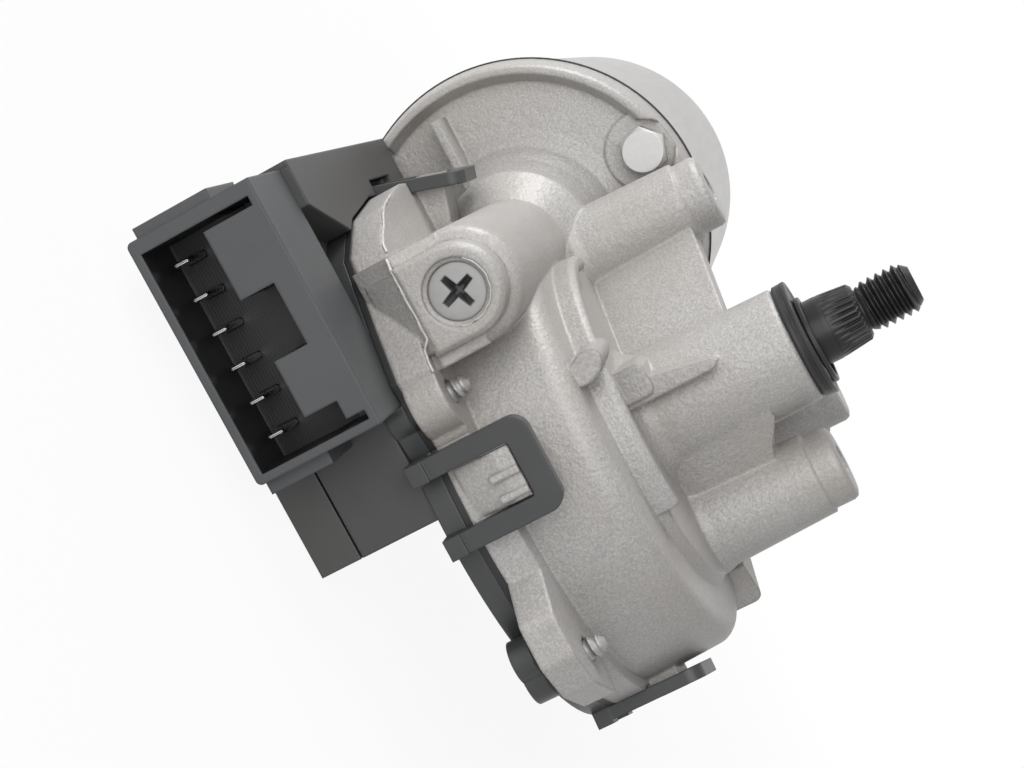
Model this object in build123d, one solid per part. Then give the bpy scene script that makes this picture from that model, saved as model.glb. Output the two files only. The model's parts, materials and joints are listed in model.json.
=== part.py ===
from build123d import *
from math import atan2, cos, degrees, hypot, pi, radians, sin, tan
import os

# Wiper motor: a brushed motor drives a worm, and the worm turns a moulded wheel on the output shaft.
# Z runs along the output shaft, towards its tip. Y runs along the motor's axis, away from the
# thrust screw. The shapes are drawn about the output shaft's axis, with Z = 0 in the plane of the
# two long bosses' end faces, and are written with the origin at the end of one of these bosses.
# All sizes are in millimetres.

# Running and assembly clearances
RUNNING = 0.03          # radial, journal in bush
SEAT = 0.02             # a piece pushed into its seat
CLEAR = 0.3             # between pieces that pass each other

# Gear pair
CENTRE_DISTANCE = 31.0  # output shaft to motor axis
WHEEL_TEETH = 54
WORM_PITCH_R = 5.0
TOOTH_ADDENDUM = 0.95
TOOTH_DEDENDUM = 1.2
FLANK_ANGLE = 20.0
TOOTH_SLACK = 0.22      # taken from each flank pair of the wheel and of the worm
WHEEL_FACE = 9.0        # tooth length along the shaft
WORM_TURNS = 8          # an even number, so that a thread crest meets a tooth gap at Y = 0
WHEEL_R = CENTRE_DISTANCE - WORM_PITCH_R
WORM_PITCH = 2 * pi * WHEEL_R / WHEEL_TEETH
WORM_LENGTH = (WORM_TURNS + 2) * WORM_PITCH
WHEEL_TIP_R = WHEEL_R + TOOTH_ADDENDUM
WORM_TIP_R = WORM_PITCH_R + TOOTH_ADDENDUM
WORM_ROOT_R = WORM_PITCH_R - TOOTH_DEDENDUM
MOTOR_X = -CENTRE_DISTANCE
MOTOR_Z = -31.0

# Gear housing
GASKET_Z = -43.7        # joint plane of housing and cover
RIM_THICK = 5.0
RIM_CENTRE = (-1.5, -2.0)
CHAMBER_R = WHEEL_TIP_R + 3.55
POT_R = CHAMBER_R + 3.8     # outside of the gear chamber, at its shoulder
RIM_R = POT_R + 2.9
POT_DRAFT = 1.0         # how much wider it is at the rim
POT_TOP_Z = -22.5
SHOULDER_Z = -24.0      # soft shoulder outside the ridge
SHOULDER_EDGE_R = 3.4
RIDGE_R = CHAMBER_R - 3.7
RIDGE_WIDTH = 2.8
RIDGE_TOP_Z = -20.7
CEILING_THICK = 2.8
WORM_BORE_R = 6.9
WORM_HOUSE_R = 8.2
NECK_R = 12.2
PAD_R = 6.5             # arched pad round the thrust screw
PAD_Y = -38.6
PAD_FOOT_Z = -37.6      # the pad's face ends here and the skirt slopes back
PAD_RECESS_R = 4.6
PAD_RECESS_DEPTH = 0.6
NOSE_Y = -34.6          # end of the tunnel behind the pad
NECK_STEP_Y = (12.0, 16.8)
FLAT_Y = 28.0           # back of the chamber beside the motor flange
FLAT_X = 2.5

# Motor flange and can
FLANGE_Y = 33.4
FLANGE_R = 29.4
FLANGE_DRAFT = 0.8      # how much smaller its front edge is
FLANGE_BAND = 2.3       # width of the flat band at its edge
FLANGE_FRONT_Y = 27.0
LOW_FLANGE_Y = 29.9     # front of the flange below the joint plane
CAN_SIDE_X = -0.8       # the rim stops here beside the can
DISH_Y = 30.2           # bottom of the dish in the flange's front
GASKET_THICK = 1.0
CAN_R = FLANGE_R - 0.2
CAN_WALL = 1.6
CAN_STRAIGHT_Y = 130.0
CAN_CORNER_R = 9.0
CAN_CUP_R = 8.5
CAN_CUP_DEPTH = 4.5
BOLT_CIRCLE_R = FLANGE_R - 5.3
BOLT_ANGLE = 9.7        # from the Z direction, towards -X
BOLT_R = 2.5
BOLT_HEAD_AF = 8.0
BOLT_HEAD_THICK = 3.5
BOLT_BOSS_R = 6.4
BOLT_SPOT_R = 5.1
BOLT_SEAT_Y = 29.05

# Mounting bosses and shaft tower
BOSS_R = 6.4
BOSS_END_R = 5.9
BOSS_STEP_Z = -3.9
BOSS_ROOT_R = 7.0
BOSS_FOOT_Z = -28.6     # the posts run down past the pot's shoulder
BOSS_HOLE_R = 2.5       # M6 thread, drilled at its core size
BOSS_HOLE_DEPTH = 16.0
LONG_BOSSES = [(-25.1, 19.6), (18.9, 1.3)]
HIGH_BOSS = (12.0, 26.0)
HIGH_BOSS_Z = 2.6
TOWER_R = 8.9
TOWER_TOP_Z = 2.2
WEB_THICK = 4.0
SIDE_WEB = [(2.0, -8.3), (6.0, -6.9), (13.5, -2.6), (18.9, 1.3), (14.0, 5.5), (2.0, 6.0)]
FIN_X = -3.6            # straight side of the rib on the tower's front
FIN_WIDTH = (4.2, 1.4)  # at its foot and at its tip
FIN_TIP_Z = -8.2
FIN_FRONT_Y = -11.6
WEB_TOP_Z = -6.0

# Output shaft
SHAFT_R = 5.0
SHAFT_TIP_Z = 21.2
THREAD_R = 4.0
THREAD_START_Z = 13.8
TAPER_START_Z = 7.2
TAPER_TOP_R = 4.3
TAPER_TOP_Z = 12.6
RELIEF_R = 3.3
SHAFT_FOOT_Z = -40.4
CAP_R = 9.0
CAP_THICK = 2.1
RING_R = 6.85
RING_THICK = 1.1
BUSH_R = 6.6
LOWER_BUSH = (-24.6, -15.6)
UPPER_BUSH = (-8.0, 1.0)

# Wheel
HUB_R = 9.0
WHEEL_RIM_R = WHEEL_R - 4.4
WHEEL_WEB = 4.5
DISC_THICK = 0.8
DISC_INNER_R = 10.2
DISC_OUTER_R = WHEEL_RIM_R - 1.2

# Armature
ARMATURE_SHAFT_R = 4.0
REAR_JOURNAL_R = 3.0
NOSE_R = 3.2
NOSE_END_Y = -28.6
NOSE_BUSH_Y = (NOSE_END_Y + 1.8, NOSE_END_Y + 8.1)
BALL_R = 2.2
THRUST_SCREW_R = 4.0
THRUST_SCREW_FACE_Y = -37.6
BEARING_R = 9.5
BEARING_WIDTH = 6.0
BEARING_Y = 25.4        # front face of the ball bearing
CORE_Y = (56.2, 106.0)
CORE_SLOTS = 12
COMMUTATOR_R = 11.0
COMMUTATOR_Y = (37.6, 48.4)
COMMUTATOR_BARS = 12
MAGNET_THICK = 6.0
AIR_GAP = 1.0
CORE_R = CAN_R - CAN_WALL - MAGNET_THICK - AIR_GAP
END_TURN_LENGTH = 6.0
MAGNET_Y = (51.0, 111.0)
MAGNET_SPAN = 132.0     # degrees

# Cover and electronics
COVER_GASKET = 1.0
COVER_THICK = 3.0
COVER_SCREWS = [(-118.9, 0.3), (-59.0, 3.2), (39.5, 3.1), (76.4, 3.3)]   # angle, and distance outside the rim
LUG_R = 5.2
COVER_LUG_R = 3.9
SCREW_HEAD_R = 2.9
SCREW_HEAD_THICK = 2.0
SCREW_R = 1.75
SCREW_TIP = 2.8         # how far the points stand out of the rim
COVER_POST = (16.5, -38.5, 3.1)     # round corner of the cover: place and radius
BOX_X = (MOTOR_X - 25.8, -5.4)
BOX_Y = (-38.0, 20.4)
BOX_TAIL_Y = 26.4
BOX_TAIL_X = MOTOR_X - 7.5
BOX_SHOULDER_Z = -43.5
BOX_SPLIT_Z = -59.6
BOX_FLOOR_Z = -66.0
BOX_WALL = 1.8
PLUG_X = (MOTOR_X - 25.0, MOTOR_X + 9.8)
PLUG_Z = (-63.0, -44.8)
PLUG_FRONT_Y = -51.0
PLUG_WALL = 1.2
PLUG_SIDE = 2.0         # wall beside the first blade
PLUG_INNER_Z = -53.2
PLUG_SLOT = 1.3         # slots along the two side walls
PLUG_SLOT_Z = -45.9
PLUG_KEYS = [(-12.0, -3.3, 4.9), (4.7, 8.6, 4.7)]   # ends from the motor's axis, and depth
PLUG_LEDGE = 1.4
PLUG_FLOOR_Y = -39.8
PLUG_BACK_Y = -35.3
PIN_COUNT = 6
PIN_PITCH = 5.0
PIN_FIRST_X = MOTOR_X - 19.9
PIN_Z = -59.2
PIN_WIDTH = 2.8
PIN_THICK = 0.8
PIN_TIP_Y = -46.5
BOARD_Z = -57.0
BOARD_THICK = 1.6

# Snap clips
CLIP_WIDTH = 13.7
CLIP_LEG = 2.9
CLIP_THICK = 2.0
CLIP_BAR = 3.4
CLIP_TOP_Z = -30.4
CLIP_OFFSET = 1.0       # gap between rim and clip
CLIP_FOOT = 3.0
CLIP_TILT = 17.5        # the clip beside the worm leans inwards
CLIP_CORNER_R = 2.4
CLIPS = [(-7.0, -39.0, -90.0, 0.0), (33.4, -9.5, -14.0, 0.0), (-47.5, 10.0, 180.0, CLIP_TILT)]


def cylinder_z(radius, low, high, x=0.0, y=0.0):
    """Round bar along Z."""
    return Pos(x, y, (low + high) / 2) * Cylinder(radius, high - low)


def cylinder_y(radius, low, high, x=MOTOR_X, z=MOTOR_Z):
    """Round bar along Y."""
    return Pos(x, (low + high) / 2, z) * Rot(90, 0, 0) * Cylinder(radius, high - low)


def block(x, y, z):
    """Rectangular block from its three ranges."""
    size = [high - low for low, high in (x, y, z)]
    middle = [(high + low) / 2 for low, high in (x, y, z)]
    return Pos(*middle) * Box(*size)


def turned_z(profile):
    """Closed profile of radius and height, turned about Z."""
    wire = Polyline(*[(r, 0, z) for r, z in profile], close=True)
    return revolve(make_face(wire), Axis.Z)


def turned_y(profile):
    """Closed profile of radius and Y, turned about the motor's axis."""
    wire = Polyline(*[(r, y, 0) for r, y in profile], close=True)
    return Pos(MOTOR_X, 0, MOTOR_Z) * revolve(make_face(wire), Axis.Y)


def prism_z(sketch, low, high):
    """Flat outline raised from one height to another."""
    return Pos(0, 0, low) * extrude(sketch, high - low)


def bolt_places():
    """The two can bolts, opposite each other on their circle."""
    turn = radians(BOLT_ANGLE)
    side = (-sin(turn) * BOLT_CIRCLE_R, cos(turn) * BOLT_CIRCLE_R)
    return [(MOTOR_X + s * side[0], MOTOR_Z + s * side[1]) for s in (1, -1)]


def beside(x, y):
    """Everything in plan beyond a corner, towards the motor can."""
    return Pos(x - 50, y + 20) * Rectangle(100, 40)


def screw_places():
    """Places of the cover screws round the rim."""
    places = []
    for angle, out in COVER_SCREWS:
        r = RIM_R + out
        places.append((RIM_CENTRE[0] + r * cos(radians(angle)), RIM_CENTRE[1] + r * sin(radians(angle))))
    return places


def joint_outline(lug_r):
    """Plan of the joint: a round pot with a shoulder round the worm, and a lobe for each screw."""
    shoulder = [(-16.0, 22), (-17.1, -2), (-14.9, -18), (-10.4, -29.2), (-1.2, -35), (7, -39.2), (17, -37.2),
                (31, 0), (21, 24)]
    worm_side = make_face(Polyline(*[(MOTOR_X + x, y) for x, y in shoulder], close=True))
    worm_side = fillet(worm_side.vertices().sort_by(Axis.X)[:3], 5.0)
    outline = Pos(*RIM_CENTRE) * Circle(RIM_R) + worm_side
    for x, y in screw_places():
        outline += Pos(x, y) * Circle(lug_r)
    return outline - beside(CAN_SIDE_X, LOW_FLANGE_Y - 0.6)


def rim_outline():
    """Casting's rim, with the broad lug in front of the second screw."""
    x, y = screw_places()[1]
    lug = make_face(Polyline((x - 14, y - 0.5), (x - 7.8, y - 7.6), (x - 1.8, y - 7.8), (x + 3.4, y - 4.6),
                             (x + 7.6, y + 3.0), (x - 9, y + 7), close=True))
    lug = fillet(lug.vertices().group_by(Axis.Y)[0] + lug.vertices().group_by(Axis.Y)[1], 1.8)
    return joint_outline(LUG_R) + lug


def cover_outline():
    x, y, r = COVER_POST
    return joint_outline(COVER_LUG_R) + Pos(x, y) * Circle(r)


def chamber_outline():
    """Plan of the gear chamber, flattened beside the motor flange."""
    return Circle(CHAMBER_R) - beside(FLAT_X, FLAT_Y)


def chamber():
    """Room for the wheel, with a sloping corner under the pot's shoulder."""
    ceiling = POT_TOP_Z - CEILING_THICK
    room = turned_z([(0, GASKET_Z - 1), (CHAMBER_R, GASKET_Z - 1), (CHAMBER_R, ceiling - 3.2),
                     (CHAMBER_R - 2.9, ceiling - 0.9), (CHAMBER_R - 6.0, ceiling), (0, ceiling)])
    return room & prism_z(chamber_outline(), GASKET_Z - 2, ceiling + 1)


def pot():
    """Round wall of the gear chamber with its soft shoulder."""
    body = turned_z([(0, GASKET_Z), (POT_R + POT_DRAFT, GASKET_Z), (POT_R, SHOULDER_Z - 0.7),
                     (RIDGE_R, SHOULDER_Z), (RIDGE_R - 1.2, POT_TOP_Z), (0, POT_TOP_Z)])
    rings = body.edges().filter_by(GeomType.CIRCLE).sort_by(SortBy.RADIUS)
    return fillet(rings[-2], SHOULDER_EDGE_R)


def worm_housing():
    """Arched tunnel over the worm, with the neck that steps out to the motor flange."""
    low_y, wide_y = NECK_STEP_Y
    nose = cylinder_y(WORM_HOUSE_R, NOSE_Y, low_y)
    nose = fillet(nose.edges().group_by(Axis.Y)[0], 1.8)
    half = WORM_HOUSE_R
    side = make_face(Polyline((0, NOSE_Y + 1.6, GASKET_Z), (0, NOSE_Y - 2.0, PAD_FOOT_Z),
                              (0, NOSE_Y, MOTOR_Z), (0, low_y, MOTOR_Z), (0, low_y, GASKET_Z), close=True))
    skirt = Pos(MOTOR_X, 0, 0) * extrude(side, half, dir=(1, 0, 0), both=True)
    neck = turned_y([(0, low_y - 2), (WORM_HOUSE_R - 0.2, low_y - 2), (WORM_HOUSE_R - 0.2, low_y),
                     (NECK_R - 0.5, wide_y),
                     (NECK_R, wide_y + 0.7), (NECK_R, FLANGE_FRONT_Y), (0, FLANGE_FRONT_Y)])
    return nose + skirt + neck


def thrust_pad():
    """Arched pad in front of the tunnel, recessed round the thrust screw."""
    depth = NOSE_Y - PAD_Y + 2
    arch = cylinder_y(PAD_R, PAD_Y, PAD_Y + depth)
    arch += block((MOTOR_X - PAD_R, MOTOR_X + PAD_R), (PAD_Y, PAD_Y + depth), (PAD_FOOT_Z, MOTOR_Z))
    pad = chamfer(arch.edges().group_by(Axis.Y)[0], 0.7)
    side = make_face(Polyline((0, PAD_Y + 0.7, PAD_FOOT_Z), (0, PAD_Y + depth, PAD_FOOT_Z),
                              (0, PAD_Y + depth, GASKET_Z + 1),
                              (0, NOSE_Y + 0.6, GASKET_Z + 1), close=True))
    pad += Pos(MOTOR_X, 0, 0) * extrude(side, PAD_R - 0.7, dir=(1, 0, 0), both=True)
    return pad - cylinder_y(PAD_RECESS_R, PAD_Y - 1, PAD_Y + PAD_RECESS_DEPTH)


def motor_flange():
    """Dished flange that carries the can, with its two bolt bosses."""
    front_r = FLANGE_R - FLANGE_DRAFT
    inner = FLANGE_R - FLANGE_BAND
    rim = [(FLANGE_R, FLANGE_Y), (front_r, FLANGE_FRONT_Y + 0.7), (front_r - 0.5, FLANGE_FRONT_Y)]
    hollow = [(inner, FLANGE_FRONT_Y), (inner - 1.2, DISH_Y), (18, DISH_Y - 0.4), (15.4, DISH_Y - 1.6),
              (NECK_R + 1.2, FLANGE_FRONT_Y - 1), (NECK_R, FLANGE_FRONT_Y - 4), (0, FLANGE_FRONT_Y - 4)]
    dish = turned_y([(0, FLANGE_Y)] + rim + hollow)
    below = block((MOTOR_X - 40, MOTOR_X + 40), (0, LOW_FLANGE_Y), (-80, GASKET_Z))
    dish -= below
    for x, z in bolt_places():
        dish += cylinder_y(BOLT_BOSS_R, BOLT_SEAT_Y, FLANGE_Y - 0.5, x, z)
    rib = block((MOTOR_X - 24, MOTOR_X - 9), (FLANGE_FRONT_Y - 4, FLANGE_Y - 2),
                (MOTOR_Z - 4.0, MOTOR_Z - 2.4))
    edge = turned_y([(0, 10), (front_r - 0.5, 10)] + rim[::-1] + [(0, FLANGE_Y)])
    for x, z in bolt_places():
        dish -= cylinder_y(BOLT_SPOT_R, FLANGE_FRONT_Y - 8, BOLT_SEAT_Y, x, z)
    return (dish + rib) & edge


def boss(x, y, end_z):
    """Mounting boss: long tapered post with a stepped end."""
    drop = end_z
    profile = [(0, drop), (BOSS_END_R - 1.0, drop), (BOSS_END_R - 0.3, drop - 0.3), (BOSS_END_R, drop - 1.0),
               (BOSS_END_R, BOSS_STEP_Z + drop), (BOSS_R, BOSS_STEP_Z + drop - 0.25),
               (BOSS_ROOT_R, POT_TOP_Z + 1.6),
               (BOSS_ROOT_R + 0.5, POT_TOP_Z), (BOSS_ROOT_R + 0.5, BOSS_FOOT_Z), (0, BOSS_FOOT_Z)]
    return Pos(x, y, 0) * turned_z(profile)


def web(start, end, top_start, top_end, thick=WEB_THICK, back=0.0):
    """Upright web between two places on the pot's top."""
    length = hypot(end[0] - start[0], end[1] - start[1])
    turn = degrees(atan2(end[1] - start[1], end[0] - start[0]))
    foot = POT_TOP_Z - 1
    side = make_face(Polyline((0, 0, foot), (length, 0, foot), (length, 0, top_end), (0, 0, top_start),
                              close=True))
    sheet = extrude(side, thick / 2, dir=(0, 1, 0), both=True)
    return Pos(start[0], start[1] + back, 0) * Rot(0, 0, turn) * sheet


def tower():
    """Shaft tower with the webs that tie it to the bosses."""
    wall = turned_z([(0, POT_TOP_Z - 2), (TOWER_R + 2.4, POT_TOP_Z - 2), (TOWER_R + 2.4, POT_TOP_Z),
                     (TOWER_R + 1.2, POT_TOP_Z + 0.8), (TOWER_R + 0.5, POT_TOP_Z + 2.4),
                     (TOWER_R, TOWER_TOP_Z - 0.5), (TOWER_R - 0.5, TOWER_TOP_Z), (0, TOWER_TOP_Z)])
    upper = LONG_BOSSES[0]
    wall += web(upper, (0, 0), WEB_TOP_Z + 1.3, WEB_TOP_Z)
    wall += web((0, 0), HIGH_BOSS, WEB_TOP_Z, WEB_TOP_Z)
    return wall + side_web() + tower_rib()


def side_web():
    """Broad web between the tower and the boss beside it, with a sloping top."""
    foot = POT_TOP_Z - 1
    top = make_face(Polyline((-2, 0, foot), (20, 0, foot), (20, 0, WEB_TOP_Z - 4.4),
                             (11.6, 0, WEB_TOP_Z - 1.8),
                             (9.4, 0, WEB_TOP_Z - 0.4), (7.6, 0, WEB_TOP_Z + 0.7),
                             (-2, 0, WEB_TOP_Z + 0.7), close=True))
    slab = extrude(top, 10, dir=(0, 1, 0), both=True)
    return slab & prism_z(make_face(Polyline(*SIDE_WEB, close=True)), foot, 0)


def tower_rib():
    """Pointed rib on the tower's front, on a short block."""
    wide, narrow = FIN_WIDTH
    foot = POT_TOP_Z - 1
    face = make_face(Polyline((FIN_X, 0, foot), (FIN_X, 0, FIN_TIP_Z - 0.8),
                              (FIN_X - narrow / 2, 0, FIN_TIP_Z),
                              (FIN_X - narrow, 0, FIN_TIP_Z - 0.6), (FIN_X - wide, 0, foot), close=True))
    rib = Pos(0, FIN_FRONT_Y, 0) * extrude(face, -6, dir=(0, -1, 0))
    base = block((FIN_X - wide - 1.6, FIN_X - 0.8), (FIN_FRONT_Y - 0.6, -4), (foot, POT_TOP_Z + 4.6))
    return rib + fillet(base.edges().filter_by(Axis.Y).group_by(Axis.Z)[-1], 1.2)


def top_ridge():
    """Raised ring along the front of the pot's top, and the leaf-shaped pad on it."""
    inner = RIDGE_R - RIDGE_WIDTH
    ring = turned_z([(inner, POT_TOP_Z - 1), (inner + 0.3, RIDGE_TOP_Z - 0.5), (inner + 0.9, RIDGE_TOP_Z),
                     (RIDGE_R - 0.9, RIDGE_TOP_Z), (RIDGE_R - 0.2, RIDGE_TOP_Z - 0.7),
                     (RIDGE_R, SHOULDER_Z - 0.5), (inner, SHOULDER_Z - 0.5)])
    ridge = ring & block((-40, 9.4), (-40, 4), (SHOULDER_Z - 1, 0))
    pad = extrude(Plane.XZ * Pos(-13.6, -22.5) * Rot(0, 0, 28) * Ellipse(1.9, 2.9), 29.0)
    return ridge + (pad & block((-30, 0), (-28.6, -18), (-30, -18)))


def side_foot():
    """Short slotted lug at the pot's far edge."""
    top = POT_TOP_Z + 0.9
    foot = block((POT_R - 5, POT_R + 2.4), (-4.5, 4.5), (POT_TOP_Z - 6.5, top))
    foot = fillet(foot.edges().filter_by(Axis.Y).group_by(Axis.X)[-1], 1.6)
    slot = block((POT_R + 0.9, POT_R + 4), (-2.4, 2.4), (POT_TOP_Z - 7, top - 1.2))
    return Rot(0, 0, 26) * (foot - slot)


def clip_place(index):
    """Where a snap clip stands: its foot on the rim, facing outwards."""
    x, y, turn, tilt = CLIPS[index]
    return Pos(x, y, GASKET_Z - COVER_GASKET - COVER_THICK / 2) * Rot(0, 0, turn) * Rot(0, -tilt, 0)


def clip_relief(index):
    """Flat cut in the rim behind a clip."""
    inner, half = CLIP_OFFSET - CLEAR, CLIP_WIDTH / 2 + CLEAR
    slab = clip_place(index) * block((inner, inner + 6), (-half, half), (-3, CLIP_TOP_Z - GASKET_Z + 5))
    return slab & block((-90, 90), (-90, 90), (GASKET_Z - 10, 0))


def clip_catch(index):
    """Wedge on the housing that the clip's bar snaps over."""
    width = CLIP_WIDTH - 2 * CLIP_LEG - 0.6
    top = CLIP_TOP_Z - CLIP_BAR - 0.3 - (GASKET_Z - COVER_GASKET - COVER_THICK / 2)
    low = RIM_THICK - 1.5
    reach = CLIP_OFFSET + CLIP_THICK * 0.8
    side = make_face(Polyline((-8, 0, low), (0, 0, low), (reach, 0, top - 2.4), (reach, 0, top),
                              (-8, 0, top), close=True))
    wedge = extrude(side, width / 2, dir=(0, 1, 0), both=True)
    for y in (-0.3, 2.6):
        wedge += block((reach - 1, reach + 0.5), (y - 0.5, y + 0.5), (top - 4.2, top))
    return (clip_place(index) * wedge) & block((-90, 90), (-90, 90), (GASKET_Z, 0))


def housing_cuts():
    """Everything bored or drilled in the casting."""
    ceiling = POT_TOP_Z - CEILING_THICK
    cuts = chamber()
    cuts += cylinder_y(WORM_BORE_R, -27.2, FLANGE_Y + 1)
    cuts += block((MOTOR_X - WORM_BORE_R, MOTOR_X + WORM_BORE_R), (-20, 14), (GASKET_Z - 1, MOTOR_Z))
    cuts += cylinder_y(THRUST_SCREW_R, PAD_Y - 2, -27)
    cuts += cylinder_y(BEARING_R, BEARING_Y, FLANGE_Y + 1)
    cuts += turned_y([(0, FLANGE_Y - 1.2), (20, FLANGE_Y - 1.2), (20, FLANGE_Y + 1), (0, FLANGE_Y + 1)])
    for low, high in (LOWER_BUSH, UPPER_BUSH):
        cuts += cylinder_z(BUSH_R, low - 2 if low < ceiling + 2 else low,
                           high if low < ceiling + 2 else high + 4)
    cuts += cylinder_z(SHAFT_R + 0.6, ceiling - 1, TOWER_TOP_Z + 1)
    for x, y in LONG_BOSSES:
        cuts += cylinder_z(BOSS_HOLE_R, -BOSS_HOLE_DEPTH, 1, x, y)
    cuts += cylinder_z(BOSS_HOLE_R, HIGH_BOSS_Z - BOSS_HOLE_DEPTH, HIGH_BOSS_Z + 1, *HIGH_BOSS)
    for x, z in bolt_places():
        cuts += cylinder_y(BOLT_R + 0.25, BOLT_SEAT_Y - 1, FLANGE_Y + 1, x, z)
    for x, y in screw_places():
        cuts += cylinder_z(SCREW_R + SEAT, GASKET_Z - 1, GASKET_Z + RIM_THICK + 1, x, y)
    return cuts


def gear_housing():
    casting = pot() + prism_z(rim_outline(), GASKET_Z, GASKET_Z + RIM_THICK)
    casting += worm_housing() + thrust_pad() + motor_flange() + tower() + top_ridge() + side_foot()
    for x, y in LONG_BOSSES:
        casting += boss(x, y, 0.0)
    casting += boss(*HIGH_BOSS, HIGH_BOSS_Z)
    for index in range(len(CLIPS)):
        casting -= clip_relief(index)
        casting += clip_catch(index)
    casting -= cylinder_y(FLANGE_R + 0.6, FLANGE_Y, FLANGE_Y + 30)
    return casting - housing_cuts()


def can_gasket():
    outer, inner = FLANGE_R + 0.25, FLANGE_R - 4.2
    ring = turned_y([(inner, FLANGE_Y), (outer, FLANGE_Y), (outer, FLANGE_Y + GASKET_THICK),
                     (inner, FLANGE_Y + GASKET_THICK)])
    for x, z in bolt_places():
        ring -= cylinder_y(BOLT_R + 0.25, FLANGE_Y - 1, FLANGE_Y + 3, x, z)
    return ring


def can_outline(inset):
    """Profile of the drawn can, its wall moved inwards by the inset."""
    end_y = CAN_STRAIGHT_Y + CAN_CORNER_R
    corner = CAN_CORNER_R - inset
    centre = (CAN_R - CAN_CORNER_R, CAN_STRAIGHT_Y)
    angles = [radians(a) for a in range(0, 91, 15)]
    arc = [(centre[0] + corner * cos(a), centre[1] + corner * sin(a)) for a in angles]
    cup = CAN_CUP_R - inset
    return [(CAN_R - inset, FLANGE_Y + GASKET_THICK)] + arc + [(cup, end_y - inset),
            (cup - 0.6, end_y + CAN_CUP_DEPTH - inset), (0, end_y + CAN_CUP_DEPTH - inset)]


def motor_can():
    mouth_y = FLANGE_Y + GASKET_THICK
    outside = turned_y([(0, mouth_y)] + can_outline(0.0))
    inside = turned_y([(0, mouth_y - 1)] + [(CAN_R - CAN_WALL, mouth_y - 1)] + can_outline(CAN_WALL))
    lip = turned_y([(CAN_R - 1, mouth_y), (FLANGE_R, mouth_y), (FLANGE_R, mouth_y + 1.6),
                    (CAN_R - 1, mouth_y + 2.4)])
    return outside + lip - inside


def can_end_ring():
    """Steel ring staked in the can's mouth, threaded for the two bolts."""
    y0, y1 = FLANGE_Y + GASKET_THICK, FLANGE_Y + GASKET_THICK + 3.0
    ring = turned_y([(20, y0), (CAN_R - CAN_WALL - SEAT, y0), (CAN_R - CAN_WALL - SEAT, y1), (20, y1)])
    for x, z in bolt_places():
        ring -= cylinder_y(BOLT_R + SEAT, y0 - 1, y1 + 1, x, z)
    return ring


def can_bolts():
    bolts = []
    for x, z in bolt_places():
        head = extrude(RegularPolygon(BOLT_HEAD_AF / 2, 6, major_radius=False), BOLT_HEAD_THICK)
        slope = BOLT_HEAD_THICK / tan(radians(30))
        head &= Pos(0, 0, BOLT_HEAD_THICK / 2) * Cone(BOLT_HEAD_AF / 2 - 0.15 + slope,
                                                      BOLT_HEAD_AF / 2 - 0.15, BOLT_HEAD_THICK)
        head = Pos(x, BOLT_SEAT_Y, z) * Rot(90, 0, 0) * head
        stem = cylinder_y(BOLT_R, BOLT_SEAT_Y - 0.5, FLANGE_Y + GASKET_THICK + 3.0, x, z)
        bolts.append(head + stem)
    return bolts


def thrust_screw():
    body = cylinder_y(THRUST_SCREW_R - SEAT, THRUST_SCREW_FACE_Y, NOSE_END_Y - 2 * BALL_R)
    cross = block((MOTOR_X - 0.55, MOTOR_X + 0.55), (THRUST_SCREW_FACE_Y - 1, THRUST_SCREW_FACE_Y + 1.5),
                  (MOTOR_Z - 2.3, MOTOR_Z + 2.3))
    cross += Pos(MOTOR_X, 0, MOTOR_Z) * Rot(0, 90, 0) * Pos(-MOTOR_X, 0, -MOTOR_Z) * cross
    turned = Pos(MOTOR_X, 0, MOTOR_Z) * Rot(0, 45, 0) * Pos(-MOTOR_X, 0, -MOTOR_Z) * cross
    return body - turned


def thrust_ball():
    return Pos(MOTOR_X, NOSE_END_Y - BALL_R, MOTOR_Z) * Sphere(BALL_R - 0.01)


def nose_bush():
    y0, y1 = NOSE_BUSH_Y
    return turned_y([(NOSE_R + RUNNING, y0), (WORM_BORE_R - SEAT, y0), (WORM_BORE_R - SEAT, y1),
                     (NOSE_R + RUNNING, y1)])


def bearing_rings():
    """Outer ring, inner ring and balls of the front bearing."""
    y0, y1 = BEARING_Y, BEARING_Y + BEARING_WIDTH
    mid, ball = (y0 + y1) / 2, 1.7
    track = (BEARING_R + ARMATURE_SHAFT_R) / 2
    groove = Pos(MOTOR_X, mid, MOTOR_Z) * Rot(90, 0, 0) * Torus(track, ball + RUNNING)
    outer = turned_y([(track + 1.0, y0), (BEARING_R - SEAT, y0), (BEARING_R - SEAT, y1),
                      (track + 1.0, y1)]) - groove
    inner = turned_y([(ARMATURE_SHAFT_R + SEAT, y0), (track - 1.0, y0), (track - 1.0, y1),
                      (ARMATURE_SHAFT_R + SEAT, y1)]) - groove
    middle = Pos(MOTOR_X, mid, MOTOR_Z)
    balls = [middle * Rot(0, 360 * i / 8, 0) * Pos(track, 0, 0) * Sphere(ball) for i in range(8)]
    return outer, inner, balls


def rear_bearing():
    end_y = CAN_STRAIGHT_Y + CAN_CORNER_R + CAN_CUP_DEPTH - CAN_WALL
    y0, y1 = end_y - 6.2, end_y - 0.4
    outer = CAN_CUP_R - CAN_WALL - 0.7
    return turned_y([(REAR_JOURNAL_R + RUNNING, y0), (outer, y0), (outer, y1),
                     (REAR_JOURNAL_R + RUNNING, y1)])


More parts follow.
